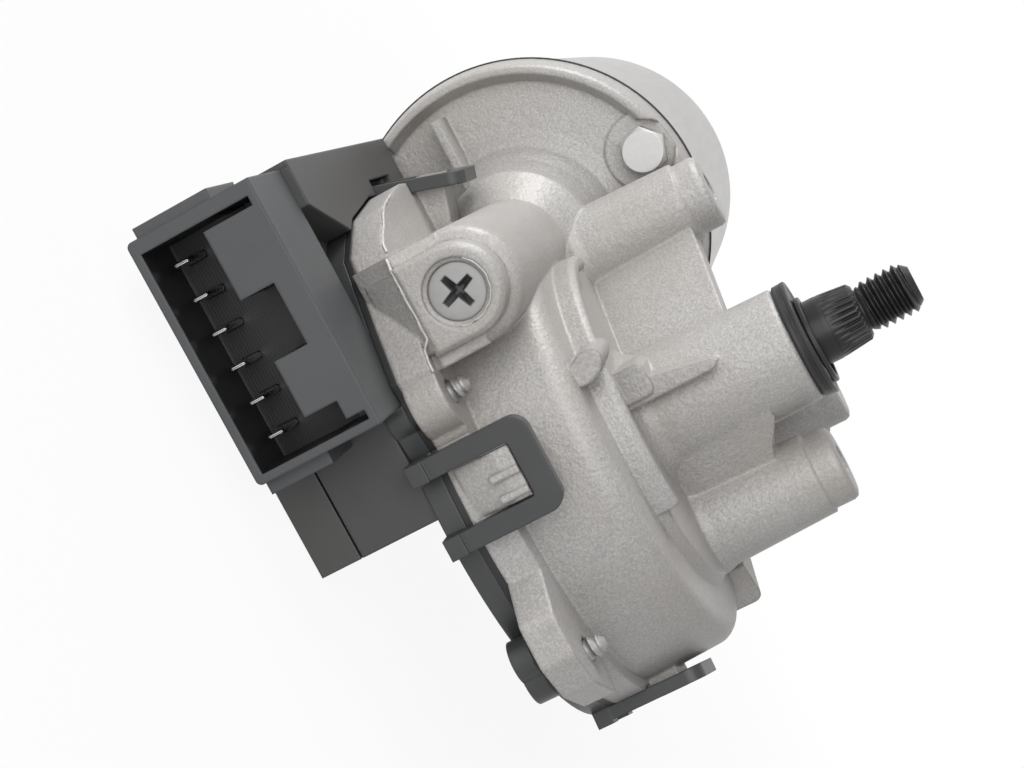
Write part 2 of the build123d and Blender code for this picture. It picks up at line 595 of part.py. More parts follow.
def field_magnets():
    """Two ferrite arcs glued to the can's wall."""
    low, high = MAGNET_Y
    outer = CAN_R - CAN_WALL - SEAT
    ring = cylinder_y(outer, low, high) - cylinder_y(outer - MAGNET_THICK, low - 1, high + 1)
    half = MAGNET_SPAN / 2
    reach = 2 * CAN_R
    arcs = []
    for turn in (0, 180):
        fan = make_face(Polyline((0, 0), (reach * cos(radians(half)), reach * sin(radians(half))), (reach, 0),
                                 (reach * cos(radians(half)), -reach * sin(radians(half))), close=True))
        wedge = extrude(fan, (high - low) / 2 + 2, both=True)
        wedge = Pos(MOTOR_X, (low + high) / 2, MOTOR_Z) * Rot(0, turn, 0) * Rot(90, 0, 0) * wedge
        arcs.append(ring & wedge)
    return arcs


def brush_holder():
    """Moulded plate in the can's mouth with a guide for each brush."""
    y0 = FLANGE_Y + GASKET_THICK + 3.0 + 0.1
    outer = CAN_R - CAN_WALL - SEAT
    plate = turned_y([(COMMUTATOR_R + 1.2, y0), (outer, y0), (outer, y0 + 2.4),
                      (COMMUTATOR_R + 1.2, y0 + 2.4)])
    for side in (1, -1):
        x = sorted((MOTOR_X + side * (COMMUTATOR_R + 2), MOTOR_X + side * 24.0))
        guide = block(x, (y0 + 2.0, y0 + 9.0), (MOTOR_Z - 4.6, MOTOR_Z + 4.6))
        hole = block((x[0] - 2, x[1] + 2), (y0 + 3.4, y0 + 7.6), (MOTOR_Z - 3.2, MOTOR_Z + 3.2))
        plate += guide
        plate -= hole
    return plate


def brushes():
    y0 = FLANGE_Y + GASKET_THICK + 3.1
    pair = []
    for side in (1, -1):
        x = sorted((MOTOR_X + side * (COMMUTATOR_R + 0.1), MOTOR_X + side * (COMMUTATOR_R + 8.1)))
        bar = block(x, (y0 + 3.5, y0 + 7.5), (MOTOR_Z - 3.1, MOTOR_Z + 3.1))
        pair.append(bar - cylinder_y(COMMUTATOR_R + 0.1, y0, y0 + 10))
    return pair


def brush_springs():
    """Coil springs behind the brushes, as stacks of square rings joined by a back strip."""
    y0 = FLANGE_Y + GASKET_THICK + 3.1
    pair = []
    for side in (1, -1):
        start = COMMUTATOR_R + 8.2
        ends = sorted((MOTOR_X + side * start, MOTOR_X + side * (start + 4.8)))
        spring = block(ends, (y0 + 5.3, y0 + 5.7), (MOTOR_Z + 1.2, MOTOR_Z + 1.6))
        for turn in range(5):
            x = MOTOR_X + side * (start + 0.3 + turn * 1.05)
            ring = Pos(x, y0 + 5.5, MOTOR_Z) * Rot(0, 90, 0) * (Cylinder(1.6, 0.5) - Cylinder(1.1, 1))
            spring += ring
        pair.append(spring)
    return pair


def armature_shaft():
    """Shaft with the nose, the worm and the two journals in one piece."""
    half = WORM_LENGTH / 2
    end_y = CAN_STRAIGHT_Y + CAN_CORNER_R + CAN_CUP_DEPTH - CAN_WALL - 1.0
    y0, y1 = BEARING_Y, BEARING_Y + BEARING_WIDTH
    core = turned_y([(0, NOSE_END_Y + 0.02), (NOSE_R - 0.5, NOSE_END_Y + 0.02), (NOSE_R, NOSE_END_Y + 0.5),
                     (NOSE_R, -half - 2), (WORM_ROOT_R, -half), (WORM_ROOT_R, half), (5.2, half + 2.5),
                     (5.2, y0 - 0.02), (ARMATURE_SHAFT_R, y0 - 0.02), (ARMATURE_SHAFT_R, CORE_Y[1] + 12),
                     (REAR_JOURNAL_R, CORE_Y[1] + 13), (REAR_JOURNAL_R, end_y), (0, end_y)])
    return core + worm_thread()


def worm_thread():
    """Right-hand thread of one start, swept along its helix."""
    length = WORM_TURNS * WORM_PITCH
    slope = tan(radians(FLANK_ANGLE))
    half_pitch_line = WORM_PITCH / 4 - TOOTH_SLACK / 2
    root = half_pitch_line + TOOTH_DEDENDUM * slope
    tip = half_pitch_line - TOOTH_ADDENDUM * slope
    foot_r = WORM_ROOT_R - 0.15
    path = Helix(WORM_PITCH, length, WORM_PITCH_R)
    r0, r1 = foot_r, WORM_TIP_R
    profile = make_face(Polyline((r0, 0, -root), (r1, 0, -tip), (r1, 0, tip), (r0, 0, root), close=True))
    thread = sweep(profile, path, is_frenet=True)
    return Pos(MOTOR_X, 0, MOTOR_Z) * Rot(-90, 0, 0) * Pos(0, 0, -length / 2) * thread


def armature_core():
    """Stack of slotted laminations."""
    low, high = CORE_Y
    section = Circle(CORE_R) - Circle(ARMATURE_SHAFT_R + SEAT)
    for i in range(CORE_SLOTS):
        place = Rot(0, 0, 360 * i / CORE_SLOTS)
        section -= place * Pos(CORE_R - 7.0, 0) * Rectangle(8.6, 4.4)
        section -= place * Pos(CORE_R - 1.2, 0) * Rectangle(4.0, 1.8)
    stack = extrude(section, high - low)
    return Pos(MOTOR_X, high, MOTOR_Z) * Rot(90, 0, 0) * stack


def armature_windings():
    """End turns of the winding, one ring at each end of the core."""
    rings = []
    for y, out in ((CORE_Y[0] - 0.1, -1), (CORE_Y[1] + 0.1, 1)):
        a, b = y, y + out * END_TURN_LENGTH
        wide = CORE_R - 2.0
        profile = [(7.5, a), (wide, a), (wide, a + out * 2.0), (wide - 3.1, b), (7.5, b)]
        rings.append(turned_y(profile))
    return rings


def commutator():
    low, high = COMMUTATOR_Y
    body = turned_y([(ARMATURE_SHAFT_R + SEAT, low), (COMMUTATOR_R, low), (COMMUTATOR_R, high - 2.4),
                     (COMMUTATOR_R + 1.0, high - 2.2), (COMMUTATOR_R + 1.0, high),
                     (ARMATURE_SHAFT_R + SEAT, high)])
    for i in range(COMMUTATOR_BARS):
        groove = block((COMMUTATOR_R - 1.0, COMMUTATOR_R + 3), (low - 1, high + 1), (-0.25, 0.25))
        body -= Pos(MOTOR_X, 0, MOTOR_Z) * Rot(0, 360 * (i + 0.5) / COMMUTATOR_BARS, 0) * groove
    return body


def output_shaft():
    return turned_z([(0, SHAFT_FOOT_Z), (3.4, SHAFT_FOOT_Z), (SHAFT_R, SHAFT_FOOT_Z + 1.2),
                     (SHAFT_R, TAPER_START_Z), (TAPER_TOP_R, TAPER_TOP_Z), (RELIEF_R, TAPER_TOP_Z + 0.6),
                     (RELIEF_R, THREAD_START_Z - 0.5),
                     (THREAD_R, THREAD_START_Z), (THREAD_R, SHAFT_TIP_Z - 0.8), (THREAD_R - 0.8, SHAFT_TIP_Z),
                     (0, SHAFT_TIP_Z)])


def wheel_tooth_section(twist):
    """Toothed outline of the wheel at one height, turned by the twist in degrees."""
    slope = tan(radians(FLANK_ANGLE))
    half = WORM_PITCH / 4 - TOOTH_SLACK / 2
    low_r, high_r = WHEEL_R - TOOTH_DEDENDUM, WHEEL_TIP_R
    low_half, high_half = half + TOOTH_DEDENDUM * slope, half - TOOTH_ADDENDUM * slope
    points = []
    for i in range(WHEEL_TEETH):
        middle = 2 * pi * i / WHEEL_TEETH + radians(twist)
        for r, w in ((low_r, -low_half), (high_r, -high_half), (high_r, high_half), (low_r, low_half)):
            points.append((r * cos(middle + w / r), r * sin(middle + w / r)))
    return points


def worm_wheel():
    """Helical wheel moulded round the shaft: toothed rim, web and hub."""
    low, high = MOTOR_Z - WHEEL_FACE / 2, MOTOR_Z + WHEEL_FACE / 2
    turn = degrees(WHEEL_FACE / 2 * WORM_PITCH / (2 * pi * WORM_PITCH_R) / WHEEL_R)
    sections = []
    for z, twist in ((low, -turn), (high, turn)):
        points = [(x, y, z) for x, y in wheel_tooth_section(180 + twist + 180 / WHEEL_TEETH)]
        sections.append(make_face(Polyline(*points, close=True)))
    rim = loft(sections, ruled=True)
    web_low = MOTOR_Z - WHEEL_WEB / 2
    rim -= cylinder_z(WHEEL_RIM_R, web_low + WHEEL_WEB, high + 1)
    rim -= cylinder_z(WHEEL_RIM_R, low - 1, web_low)
    hub = cylinder_z(HUB_R, -38.4, high)
    wheel = rim + hub
    for i in range(6):
        wheel += Rot(0, 0, 60 * i) * block((HUB_R - 1, WHEEL_RIM_R + 1), (-0.9, 0.9), (web_low, high - 1.0))
    return wheel - cylinder_z(SHAFT_R + SEAT, -50, 0)


def contact_disc():
    top = MOTOR_Z - WHEEL_WEB / 2
    disc = cylinder_z(DISC_OUTER_R, top - DISC_THICK, top) - cylinder_z(DISC_INNER_R, top - 5, top + 5)
    gap = block((0, DISC_OUTER_R - 3.6), (-4, 4), (top - 5, top + 5))
    return disc - gap


def thrust_washer():
    top = POT_TOP_Z - CEILING_THICK - 0.06
    return cylinder_z(HUB_R - 0.5, MOTOR_Z + WHEEL_FACE / 2, top) - cylinder_z(SHAFT_R + 0.15, -50, 0)


def bush(span):
    low, high = span
    return cylinder_z(BUSH_R - SEAT, low, high) - cylinder_z(SHAFT_R + RUNNING, low - 1, high + 1)


def tower_cap():
    """Black cap washer over the tower's end."""
    low = TOWER_TOP_Z + 0.05
    return turned_z([(SHAFT_R + 0.15, low), (CAP_R, low), (CAP_R, low + 0.8), (CAP_R - 0.25, low + 0.95),
                     (CAP_R, low + 1.1), (CAP_R, low + CAP_THICK - 0.3), (CAP_R - 0.5, low + CAP_THICK),
                     (SHAFT_R + 0.15, low + CAP_THICK)])


def retaining_ring():
    low = TOWER_TOP_Z + 0.05 + CAP_THICK + 0.06
    ring = cylinder_z(RING_R, low, low + RING_THICK) - cylinder_z(SHAFT_R + SEAT, low - 1, low + 3)
    return ring - block((0, RING_R + 1), (-1.2, 1.2), (low - 1, low + 3))


def cover_gasket():
    low, high = GASKET_Z - COVER_GASKET, GASKET_Z
    seal = prism_z(cover_outline() - chamber_outline(), low, high)
    seal -= block((MOTOR_X - WORM_BORE_R, MOTOR_X + WORM_BORE_R + 4), (-20, 14), (low - 1, high + 1))
    for x, y in screw_places():
        seal -= cylinder_z(SCREW_R + 0.2, low - 1, high + 1, x, y)
    for index in range(len(CLIPS)):
        seal -= clip_relief(index)
    return seal


def snap_clip(index):
    """U-shaped loop on its two square feet."""
    half, foot = CLIP_WIDTH / 2, GASKET_Z - COVER_GASKET - COVER_THICK / 2
    top = CLIP_TOP_Z - foot
    low = -COVER_THICK
    outline = Pos(0, (top + low) / 2) * RectangleRounded(CLIP_WIDTH, top - low, CLIP_CORNER_R)
    hole_height = top - CLIP_BAR - low
    outline -= Pos(0, hole_height / 2 + low) * RectangleRounded(CLIP_WIDTH - 2 * CLIP_LEG, hole_height, 0.6)
    clip = Pos(CLIP_OFFSET, 0, 0) * extrude(Plane.YZ * outline, CLIP_THICK)
    for side in (1, -1):
        y = side * (half - CLIP_LEG / 2)
        clip += block((-2.0, CLIP_OFFSET + CLIP_THICK + 0.5), (y - CLIP_FOOT / 2, y + CLIP_FOOT / 2),
                      (low, 1.0))
    above_cover = block((-90, 90), (-90, 90), (foot - COVER_THICK / 2, 0))
    return (clip_place(index) * clip) & above_cover


def gear_cover():
    """Moulded cover with the shaft pad, the screw bosses and the three snap clips."""
    top = GASKET_Z - COVER_GASKET
    low = top - COVER_THICK
    cover = prism_z(cover_outline(), low, top)
    cover += cylinder_z(SHAFT_R + 2.0, top - 1, SHAFT_FOOT_Z - 0.1)
    for x, y in screw_places():
        cover -= cylinder_z(SCREW_R + 0.2, low - 1, top + 1, x, y)
        cover -= cylinder_z(SCREW_HEAD_R + 0.2, low - 1, low + SCREW_HEAD_THICK + 0.1, x, y)
    for index in range(len(CLIPS)):
        cover += snap_clip(index)
    for y in (-6, 0, 6):
        cover -= block((-19, -9.2), (y - 1.6, y + 1.6), (low - 1, top + 1))
    gap = 0.05
    return cover - block((PLUG_X[0] - gap, PLUG_X[1] + gap), (PLUG_FRONT_Y, PLUG_BACK_Y + gap),
                         (PLUG_Z[0], PLUG_Z[1] + gap))


def cover_screws():
    """Screws through the cover into the rim, with their heads let into the cover."""
    low = GASKET_Z - COVER_GASKET - COVER_THICK
    tip = GASKET_Z + RIM_THICK + SCREW_TIP
    screws = []
    for x, y in screw_places():
        head = cylinder_z(SCREW_HEAD_R, low + 0.1, low + SCREW_HEAD_THICK + 0.1, x, y)
        stem = cylinder_z(SCREW_R, low + 1, tip - 0.8, x, y)
        point = Pos(x, y, tip - 0.4) * Cone(SCREW_R, 0.6, 0.8)
        screws.append(head + stem + point)
    return screws


def box_plan(inset=0.0):
    """Plan of the control box: a rectangle with a tail beside the motor flange."""
    main = Pos((BOX_X[0] + BOX_X[1]) / 2, (BOX_Y[0] + BOX_Y[1]) / 2) * Rectangle(
        BOX_X[1] - BOX_X[0] - 2 * inset, BOX_Y[1] - BOX_Y[0] - 2 * inset)
    tail_y = (0, BOX_TAIL_Y - inset)
    tail = Pos((BOX_X[0] + BOX_TAIL_X) / 2, (tail_y[0] + tail_y[1]) / 2) * Rectangle(
        BOX_TAIL_X - BOX_X[0] - 2 * inset, tail_y[1] - tail_y[0])
    return main + tail


def box_shoulder():
    """Raised ledge of the box beside the casting, with room for the clip there."""
    low = GASKET_Z - COVER_GASKET - COVER_THICK - 1
    edge = BOX_X[0]
    plan = make_face(Polyline((edge, PLUG_BACK_Y), (edge + 6.6, PLUG_BACK_Y), (edge + 12.0, -21),
                              (edge + 12.0, BOX_TAIL_Y), (edge, BOX_TAIL_Y), close=True))
    ledge = prism_z(plan - offset(joint_outline(LUG_R), 0.5), low, BOX_SHOULDER_Z)
    half = CLIP_WIDTH / 2 + CLEAR
    return ledge - clip_place(2) * block((-6, CLIP_OFFSET + CLIP_THICK + 1), (-half, half), (-8, 20))


def control_box():
    """Open box under the cover for the circuit board."""
    top = GASKET_Z - COVER_GASKET - COVER_THICK
    body = prism_z(box_plan(), BOX_SPLIT_Z, top - 0.05)
    body -= prism_z(box_plan(BOX_WALL), BOX_SPLIT_Z - 1, top - 0.05 - BOX_WALL)
    body += box_shoulder()
    for y in (-6, 0, 6):
        body -= block((-19, -9.2), (y - 1.6, y + 1.6), (BOX_SPLIT_Z + 3, 0))
    return body - connector_seat()


def connector_seat():
    """Room for the connector's root in the control box's front."""
    gap = 0.05
    return block((PLUG_X[0] - gap, PLUG_X[1] + gap), (PLUG_FRONT_Y - 1, PLUG_BACK_Y + gap),
                 (PLUG_Z[0] - gap, PLUG_Z[1] + 3))


def control_box_lid():
    body = prism_z(box_plan(), BOX_FLOOR_Z, BOX_SPLIT_Z - 0.3)
    body -= prism_z(box_plan(BOX_WALL), BOX_FLOOR_Z + BOX_WALL, BOX_SPLIT_Z + 1)
    return body - connector_seat()


def connector_shroud():
    """Rectangular plug socket with keyed inner wall and a ledge on each side."""
    back = BOX_Y[0] - 0.1
    body = block(PLUG_X, (PLUG_FRONT_Y, PLUG_BACK_Y), PLUG_Z)
    body = fillet(body.edges().filter_by(Axis.Y).group_by(Axis.Z)[0], 0.8)
    body += block((PLUG_X[0] - PLUG_LEDGE, PLUG_X[0] + 0.1), (PLUG_FRONT_Y + 0.6, back),
                  (PLUG_Z[0] + 1.6, PLUG_Z[0] + 12.6))
    body += block((PLUG_X[1] - 0.1, PLUG_X[1] + PLUG_LEDGE + 0.4), (PLUG_FRONT_Y + 2.0, back),
                  (PLUG_Z[0] + 0.4, PLUG_Z[0] + 9.6))
    cavity_x = (PLUG_X[0] + PLUG_SIDE, PLUG_X[1] - PLUG_WALL)
    body -= block(cavity_x, (PLUG_FRONT_Y - 1, PLUG_FLOOR_Y), (PLUG_Z[0] + PLUG_WALL, PLUG_INNER_Z))
    keys = [(MOTOR_X + a, MOTOR_X + b, PLUG_INNER_Z + depth) for a, b, depth in PLUG_KEYS]
    keys += [(cavity_x[0], cavity_x[0] + PLUG_SLOT, PLUG_SLOT_Z),
             (cavity_x[1] - PLUG_SLOT, cavity_x[1], PLUG_SLOT_Z)]
    for x0, x1, top in keys:
        body -= block((x0, x1), (PLUG_FRONT_Y - 1, PLUG_FLOOR_Y), (PLUG_INNER_Z - 1, top))
    for i in range(PIN_COUNT):
        x = PIN_FIRST_X + PIN_PITCH * i
        body -= block((x - PIN_THICK / 2 - SEAT, x + PIN_THICK / 2 + SEAT),
                      (PLUG_FLOOR_Y - 1, PLUG_BACK_Y + 1),
                      (PIN_Z - PIN_WIDTH / 2 - SEAT, PIN_Z + PIN_WIDTH / 2 + SEAT))
    low = GASKET_Z - COVER_GASKET - COVER_THICK
    return body - cylinder_z(SCREW_HEAD_R + 0.8, low - 0.2, 0, *screw_places()[0])


def connector_pins():
    """Six flat blades that turn up into the circuit board."""
    back = PLUG_BACK_Y + PIN_WIDTH + 0.2
    blades = []
    for i in range(PIN_COUNT):
        x = PIN_FIRST_X + PIN_PITCH * i
        span = (x - PIN_THICK / 2, x + PIN_THICK / 2)
        blade = block(span, (PIN_TIP_Y, back), (PIN_Z - PIN_WIDTH / 2, PIN_Z + PIN_WIDTH / 2))
        blade += block(span, (back - PIN_WIDTH, back), (PIN_Z, BOARD_Z + BOARD_THICK + 1))
        blades.append(blade)
    return blades


def circuit_board():
    inset = BOX_WALL + 0.35
    plate = prism_z(box_plan(inset), BOARD_Z, BOARD_Z + BOARD_THICK)
    for i in range(PIN_COUNT):
        x = PIN_FIRST_X + PIN_PITCH * i
        back = PLUG_BACK_Y + PIN_WIDTH + 0.2
        plate -= block((x - PIN_THICK / 2 - SEAT, x + PIN_THICK / 2 + SEAT),
                       (back - PIN_WIDTH - SEAT, back + SEAT), (BOARD_Z - 1, BOARD_Z + 3))
    return plate - block((PLUG_X[0] - 1, PLUG_X[1] + 1), (-60, PLUG_BACK_Y + 0.1), (BOARD_Z - 1, BOARD_Z + 3))


def park_contact_springs():
    """Three spring fingers from the board to the wheel's contact disc."""
    top = MOTOR_Z - WHEEL_WEB / 2 - DISC_THICK - 0.05
    fingers = []
    for y in (-6, 0, 6):
        foot = block((-17.0, -16.6), (y - 0.8, y + 0.8), (BOARD_Z + BOARD_THICK, -41.0))
        arm = make_face(Polyline((-17.0, 0, -41.4), (-16.6, 0, -41.8), (-12.2, 0, top - 0.5),
                                 (-11.6, 0, top - 0.4), (-11.6, 0, top), (-12.6, 0, top), close=True))
        fingers.append(foot + Pos(0, y, 0) * extrude(arm, 0.8, dir=(0, 1, 0), both=True))
    return fingers


def write(name, shape):
    """One STEP file for one piece, or for a group of alike pieces, about the origin boss."""
    x, y = LONG_BOSSES[1]
    solids = shape if isinstance(shape, list) else [shape]
    moved = [Pos(-x, -y, 0) * solid for solid in solids]
    export_step(moved[0] if len(moved) == 1 else Compound(children=moved), f"parts/{name}.step")


def main():
    os.makedirs("parts", exist_ok=True)
    outer_ring, inner_ring, balls = bearing_rings()
    pieces = {
        "gear_housing": gear_housing(), "motor_can": motor_can(), "can_gasket": can_gasket(),
        "can_end_ring": can_end_ring(), "can_bolts": can_bolts(), "thrust_screw": thrust_screw(),
        "thrust_ball": thrust_ball(), "nose_bush": nose_bush(), "front_bearing_outer_ring": outer_ring,
        "front_bearing_inner_ring": inner_ring, "front_bearing_balls": balls, "rear_bearing": rear_bearing(),
        "field_magnets": field_magnets(), "brush_holder": brush_holder(), "carbon_brushes": brushes(),
        "brush_springs": brush_springs(), "armature_shaft": armature_shaft(),
        "armature_core": armature_core(),
        "armature_windings": armature_windings(), "commutator": commutator(), "output_shaft": output_shaft(),
        "worm_wheel": worm_wheel(), "contact_disc": contact_disc(), "thrust_washer": thrust_washer(),
        "lower_shaft_bush": bush(LOWER_BUSH), "upper_shaft_bush": bush(UPPER_BUSH), "tower_cap": tower_cap(),
        "retaining_ring": retaining_ring(), "cover_gasket": cover_gasket(), "gear_cover": gear_cover(),
        "cover_screws": cover_screws(), "control_box": control_box(), "control_box_lid": control_box_lid(),
        "connector_shroud": connector_shroud(), "connector_pins": connector_pins(),
        "circuit_board": circuit_board(), "park_contact_springs": park_contact_springs(),
    }
    for name, shape in pieces.items():
        write(name, shape)


main()
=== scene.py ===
import json
import math

import bmesh
import bpy
from mathutils import Matrix, Vector

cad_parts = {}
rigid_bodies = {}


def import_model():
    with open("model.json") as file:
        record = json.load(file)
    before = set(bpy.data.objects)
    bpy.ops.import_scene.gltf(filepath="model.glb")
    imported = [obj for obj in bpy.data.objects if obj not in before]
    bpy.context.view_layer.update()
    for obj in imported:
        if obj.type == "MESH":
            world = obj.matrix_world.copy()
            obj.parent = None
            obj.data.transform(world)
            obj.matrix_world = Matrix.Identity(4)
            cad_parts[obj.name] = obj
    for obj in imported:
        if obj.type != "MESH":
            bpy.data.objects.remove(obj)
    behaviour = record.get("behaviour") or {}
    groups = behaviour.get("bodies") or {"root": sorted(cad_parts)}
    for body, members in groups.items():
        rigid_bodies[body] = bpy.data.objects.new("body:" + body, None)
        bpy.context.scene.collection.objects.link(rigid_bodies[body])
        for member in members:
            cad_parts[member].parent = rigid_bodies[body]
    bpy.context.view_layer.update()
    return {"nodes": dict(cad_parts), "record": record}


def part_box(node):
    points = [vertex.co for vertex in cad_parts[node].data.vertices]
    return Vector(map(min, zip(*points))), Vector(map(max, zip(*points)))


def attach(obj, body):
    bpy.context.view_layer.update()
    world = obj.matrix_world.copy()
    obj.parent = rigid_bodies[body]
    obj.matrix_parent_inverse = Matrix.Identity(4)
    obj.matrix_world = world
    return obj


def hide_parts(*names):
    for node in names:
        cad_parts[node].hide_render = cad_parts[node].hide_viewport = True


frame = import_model()
nodes = frame["nodes"]

# The pieces are drawn in millimetres about the output shaft's axis, with Z = 0 at the ends of the
# long bosses. The row's origin is on the side boss, so each mesh is moved there once it is drawn.
SIDE_BOSS = Vector((18.9, 1.3, 0.0))
MM = 0.001          # in metres
METRE = 1000.0      # in millimetres
TO_ROW = Matrix.Scale(MM, 4) @ Matrix.Translation(-SIDE_BOSS)

# The motor's axis, which runs along Y
MOTOR_X = -31.0
MOTOR_Z = -31.0


# Shader and geometry node graphs

class Wire:
    """A socket that takes part in Python arithmetic."""

    def __init__(self, graph, socket):
        self.graph = graph
        self.socket = socket

    def __add__(self, other):
        return self.graph.math("ADD", self, other)

    def __sub__(self, other):
        return self.graph.math("SUBTRACT", self, other)

    def __rsub__(self, other):
        return self.graph.math("SUBTRACT", other, self)

    def __mul__(self, other):
        return self.graph.math("MULTIPLY", self, other)

    def __truediv__(self, other):
        return self.graph.math("DIVIDE", self, other)

    def __rtruediv__(self, other):
        return self.graph.math("DIVIDE", other, self)

    __radd__ = __add__
    __rmul__ = __mul__


class Graph:
    """A node tree with one method for any node, and one for its maths."""

    def __init__(self, tree):
        self.tree = tree

    def node(self, kind, settings=None, out=0, **inputs):
        """Output of a new node. Inputs go by name, or by number as in0, in1 and so on."""
        made = self.tree.nodes.new(kind)
        for name, value in (settings or {}).items():
            if name == "stops":
                self.set_stops(made.color_ramp, value)
            else:
                setattr(made, name, value)
        for name, value in inputs.items():
            numbered = name.startswith("in") and name[2:].isdigit()
            self.plug(made.inputs[int(name[2:]) if numbered else name.replace("_", " ")], value)
        return Wire(self, made.outputs[out])

    def set_stops(self, ramp, stops):
        while len(ramp.elements) < len(stops):
            ramp.elements.new(0.5)
        for element, (place, level) in zip(ramp.elements, stops):
            element.position = place
            element.color = level if isinstance(level, tuple) else (level, level, level, 1)

    def plug(self, socket, value):
        if isinstance(value, Wire):
            self.tree.links.new(value.socket, socket)
        else:
            socket.default_value = value

    def math(self, operation, first, second=0.0):
        return self.node("ShaderNodeMath", {"operation": operation}, in0=first, in1=second)

    def blend(self, factor, first, second):
        """Mixed colours."""
        return self.node("ShaderNodeMix", {"data_type": "RGBA"}, out=2, in0=factor, in6=first, in7=second)

    def axes(self, vector):
        """X, Y and Z of a vector."""
        split = self.tree.nodes.new("ShaderNodeSeparateXYZ")
        self.plug(split.inputs[0], vector)
        return [Wire(self, socket) for socket in split.outputs]


class Finish(Graph):
    """A procedural material: patterns on object coordinates that feed one Principled shader."""

    def __init__(self, name, **fixed):
        self.material = bpy.data.materials.new(name)
        self.material.use_nodes = True
        super().__init__(self.material.node_tree)
        self.shader = self.tree.nodes["Principled BSDF"]
        self.feed(**fixed)
        self.place = self.node("ShaderNodeTexCoord", out="Object")

    def noise(self, size, detail=2.0, rough=0.5, stretch=None, seed=0.0):
        """Noise whose grains are about so many millimetres across."""
        place = self.place
        if stretch or seed:
            place = self.node("ShaderNodeMapping", Vector=place, Scale=stretch or (1, 1, 1),
                              Location=(seed, seed * 0.7, -seed))
        return self.node("ShaderNodeTexNoise", Vector=place, Scale=METRE / size, Detail=detail,
                         Roughness=rough)

    def ramp(self, value, *stops):
        return self.node("ShaderNodeValToRGB", {"stops": stops}, Fac=value)

    def soft_edges(self, radius, samples=6):
        """Normal that rounds sharp edges by so many millimetres."""
        return self.node("ShaderNodeBevel", {"samples": samples}, Radius=radius * MM)

    def inside(self, box):
        """1 inside a box of two corners, else 0."""
        mask = 1.0
        for along, low, high in zip(self.axes(self.place), *box):
            mask = mask * self.math("GREATER_THAN", along, low) * self.math("LESS_THAN", along, high)
        return mask

    def mottled(self, pattern, level, warmth, low, high):
        """Near-grey colour that wanders between two shares of its level."""
        return self.blend(pattern, grey(level * low, warmth), grey(level * high, warmth))

    def bump(self, height, depth, strength=1.0, under=None):
        """Normal from a height between 0 and 1, so many millimetres deep."""
        more = {"Normal": under} if under else {}
        return self.node("ShaderNodeBump", Strength=strength, Distance=depth * MM, Height=height, **more)

    def feed(self, **inputs):
        for key, value in inputs.items():
            self.plug(self.shader.inputs[key.replace("_", " ")], value)
        return self.material


def grey(level, warmth=0.0):
    """Colour near grey. Warmth above 0 turns it towards brown, below 0 towards blue."""
    return (level * (1 + warmth), level, level * (1 - warmth), 1)


def uneven(middle, pattern, swing):
    """Value that swings about its middle with a pattern between 0 and 1."""
    return middle + pattern * swing - swing / 2


# Finishes

def cast_aluminium():
    """Blasted die casting: soft edges, a fine orange peel and faint brown clouds."""
    f = Finish("cast_aluminium", Metallic=0.06, Specular_IOR_Level=0.6)
    peel = f.noise(0.85, detail=1.0)
    fine = f.noise(0.34, detail=1.0, seed=3.0)
    cloud = f.noise(17.0)
    shade = f.ramp(fine, (0.32, grey(0.36, 0.03)), (0.52, grey(0.43, 0.03)), (0.72, grey(0.51, 0.025)))
    stained = f.blend(f.ramp(cloud, (0.38, 0.0), (0.75, 0.65)), shade, grey(0.35, 0.09))
    height = f.ramp(peel, (0.25, 0.0), (0.75, 1.0)) * 0.45 + fine * 0.55
    return f.feed(Base_Color=stained, Roughness=0.34 + fine * 0.18,
                  Normal=f.bump(height, 0.12, 0.9, f.soft_edges(0.8, samples=8)))


def can_steel():
    """Drawn steel with a satin plating."""
    f = Finish("can_steel", Metallic=0.8)
    streak = f.noise(1.6, stretch=(1.0, 0.06, 1.0))
    cloud = f.noise(22.0)
    shade = f.blend(cloud, grey(0.31, 0.03), grey(0.38, 0.035))
    return f.feed(Base_Color=shade, Roughness=0.27 + streak * 0.10, Normal=f.bump(streak, 0.003, 0.4))


PLASTIC_SPECULAR = 0.45
PLASTIC_TONES = (0.85, 1.15)
BAND_PERIOD = math.pi / 10      # of a wave texture's bands at scale 1


def moulded(name, level, warmth, roughness, grain=0.10):
    """Moulded plastic or rubber with a fine spark-eroded surface."""
    f = Finish(name, Specular_IOR_Level=PLASTIC_SPECULAR)
    spark = f.noise(grain, rough=0.6)
    cloud = f.noise(9.0, detail=3.0, rough=0.6)
    return f.feed(Base_Color=f.mottled(cloud, level, warmth, *PLASTIC_TONES),
                  Roughness=uneven(roughness, spark, 0.16),
                  Normal=f.bump(spark, 0.012, 0.6, f.soft_edges(0.35)))


def milled(name, level, warmth, roughness, pitch, painted_shade_box=None):
    """Moulded plastic that carries the fine lines of its tool, with painted shade that darkens it inside a
    given box.
    """
    f = Finish(name, Specular_IOR_Level=PLASTIC_SPECULAR)
    lines = f.node("ShaderNodeTexWave", {"wave_type": "BANDS", "bands_direction": "Z"}, out="Fac",
                   Vector=f.place, Scale=BAND_PERIOD / (pitch * MM), Distortion=0.5, Detail=1.0)
    spark = f.noise(0.3, rough=0.6)
    cloud = f.noise(9.0, detail=3.0, rough=0.6)
    shade = f.mottled(cloud, level, warmth, *PLASTIC_TONES)
    # Painted shade: inside the box the colour falls to 0.12 of its level, where little light reaches
    if painted_shade_box:
        shade = f.blend(f.inside(painted_shade_box), shade, grey(level * 0.12))
    return f.feed(Base_Color=shade, Roughness=uneven(roughness, spark, 0.12),
                  Normal=f.bump(lines * 0.6 + spark * 0.4, 0.016, 0.6, f.soft_edges(0.5)))


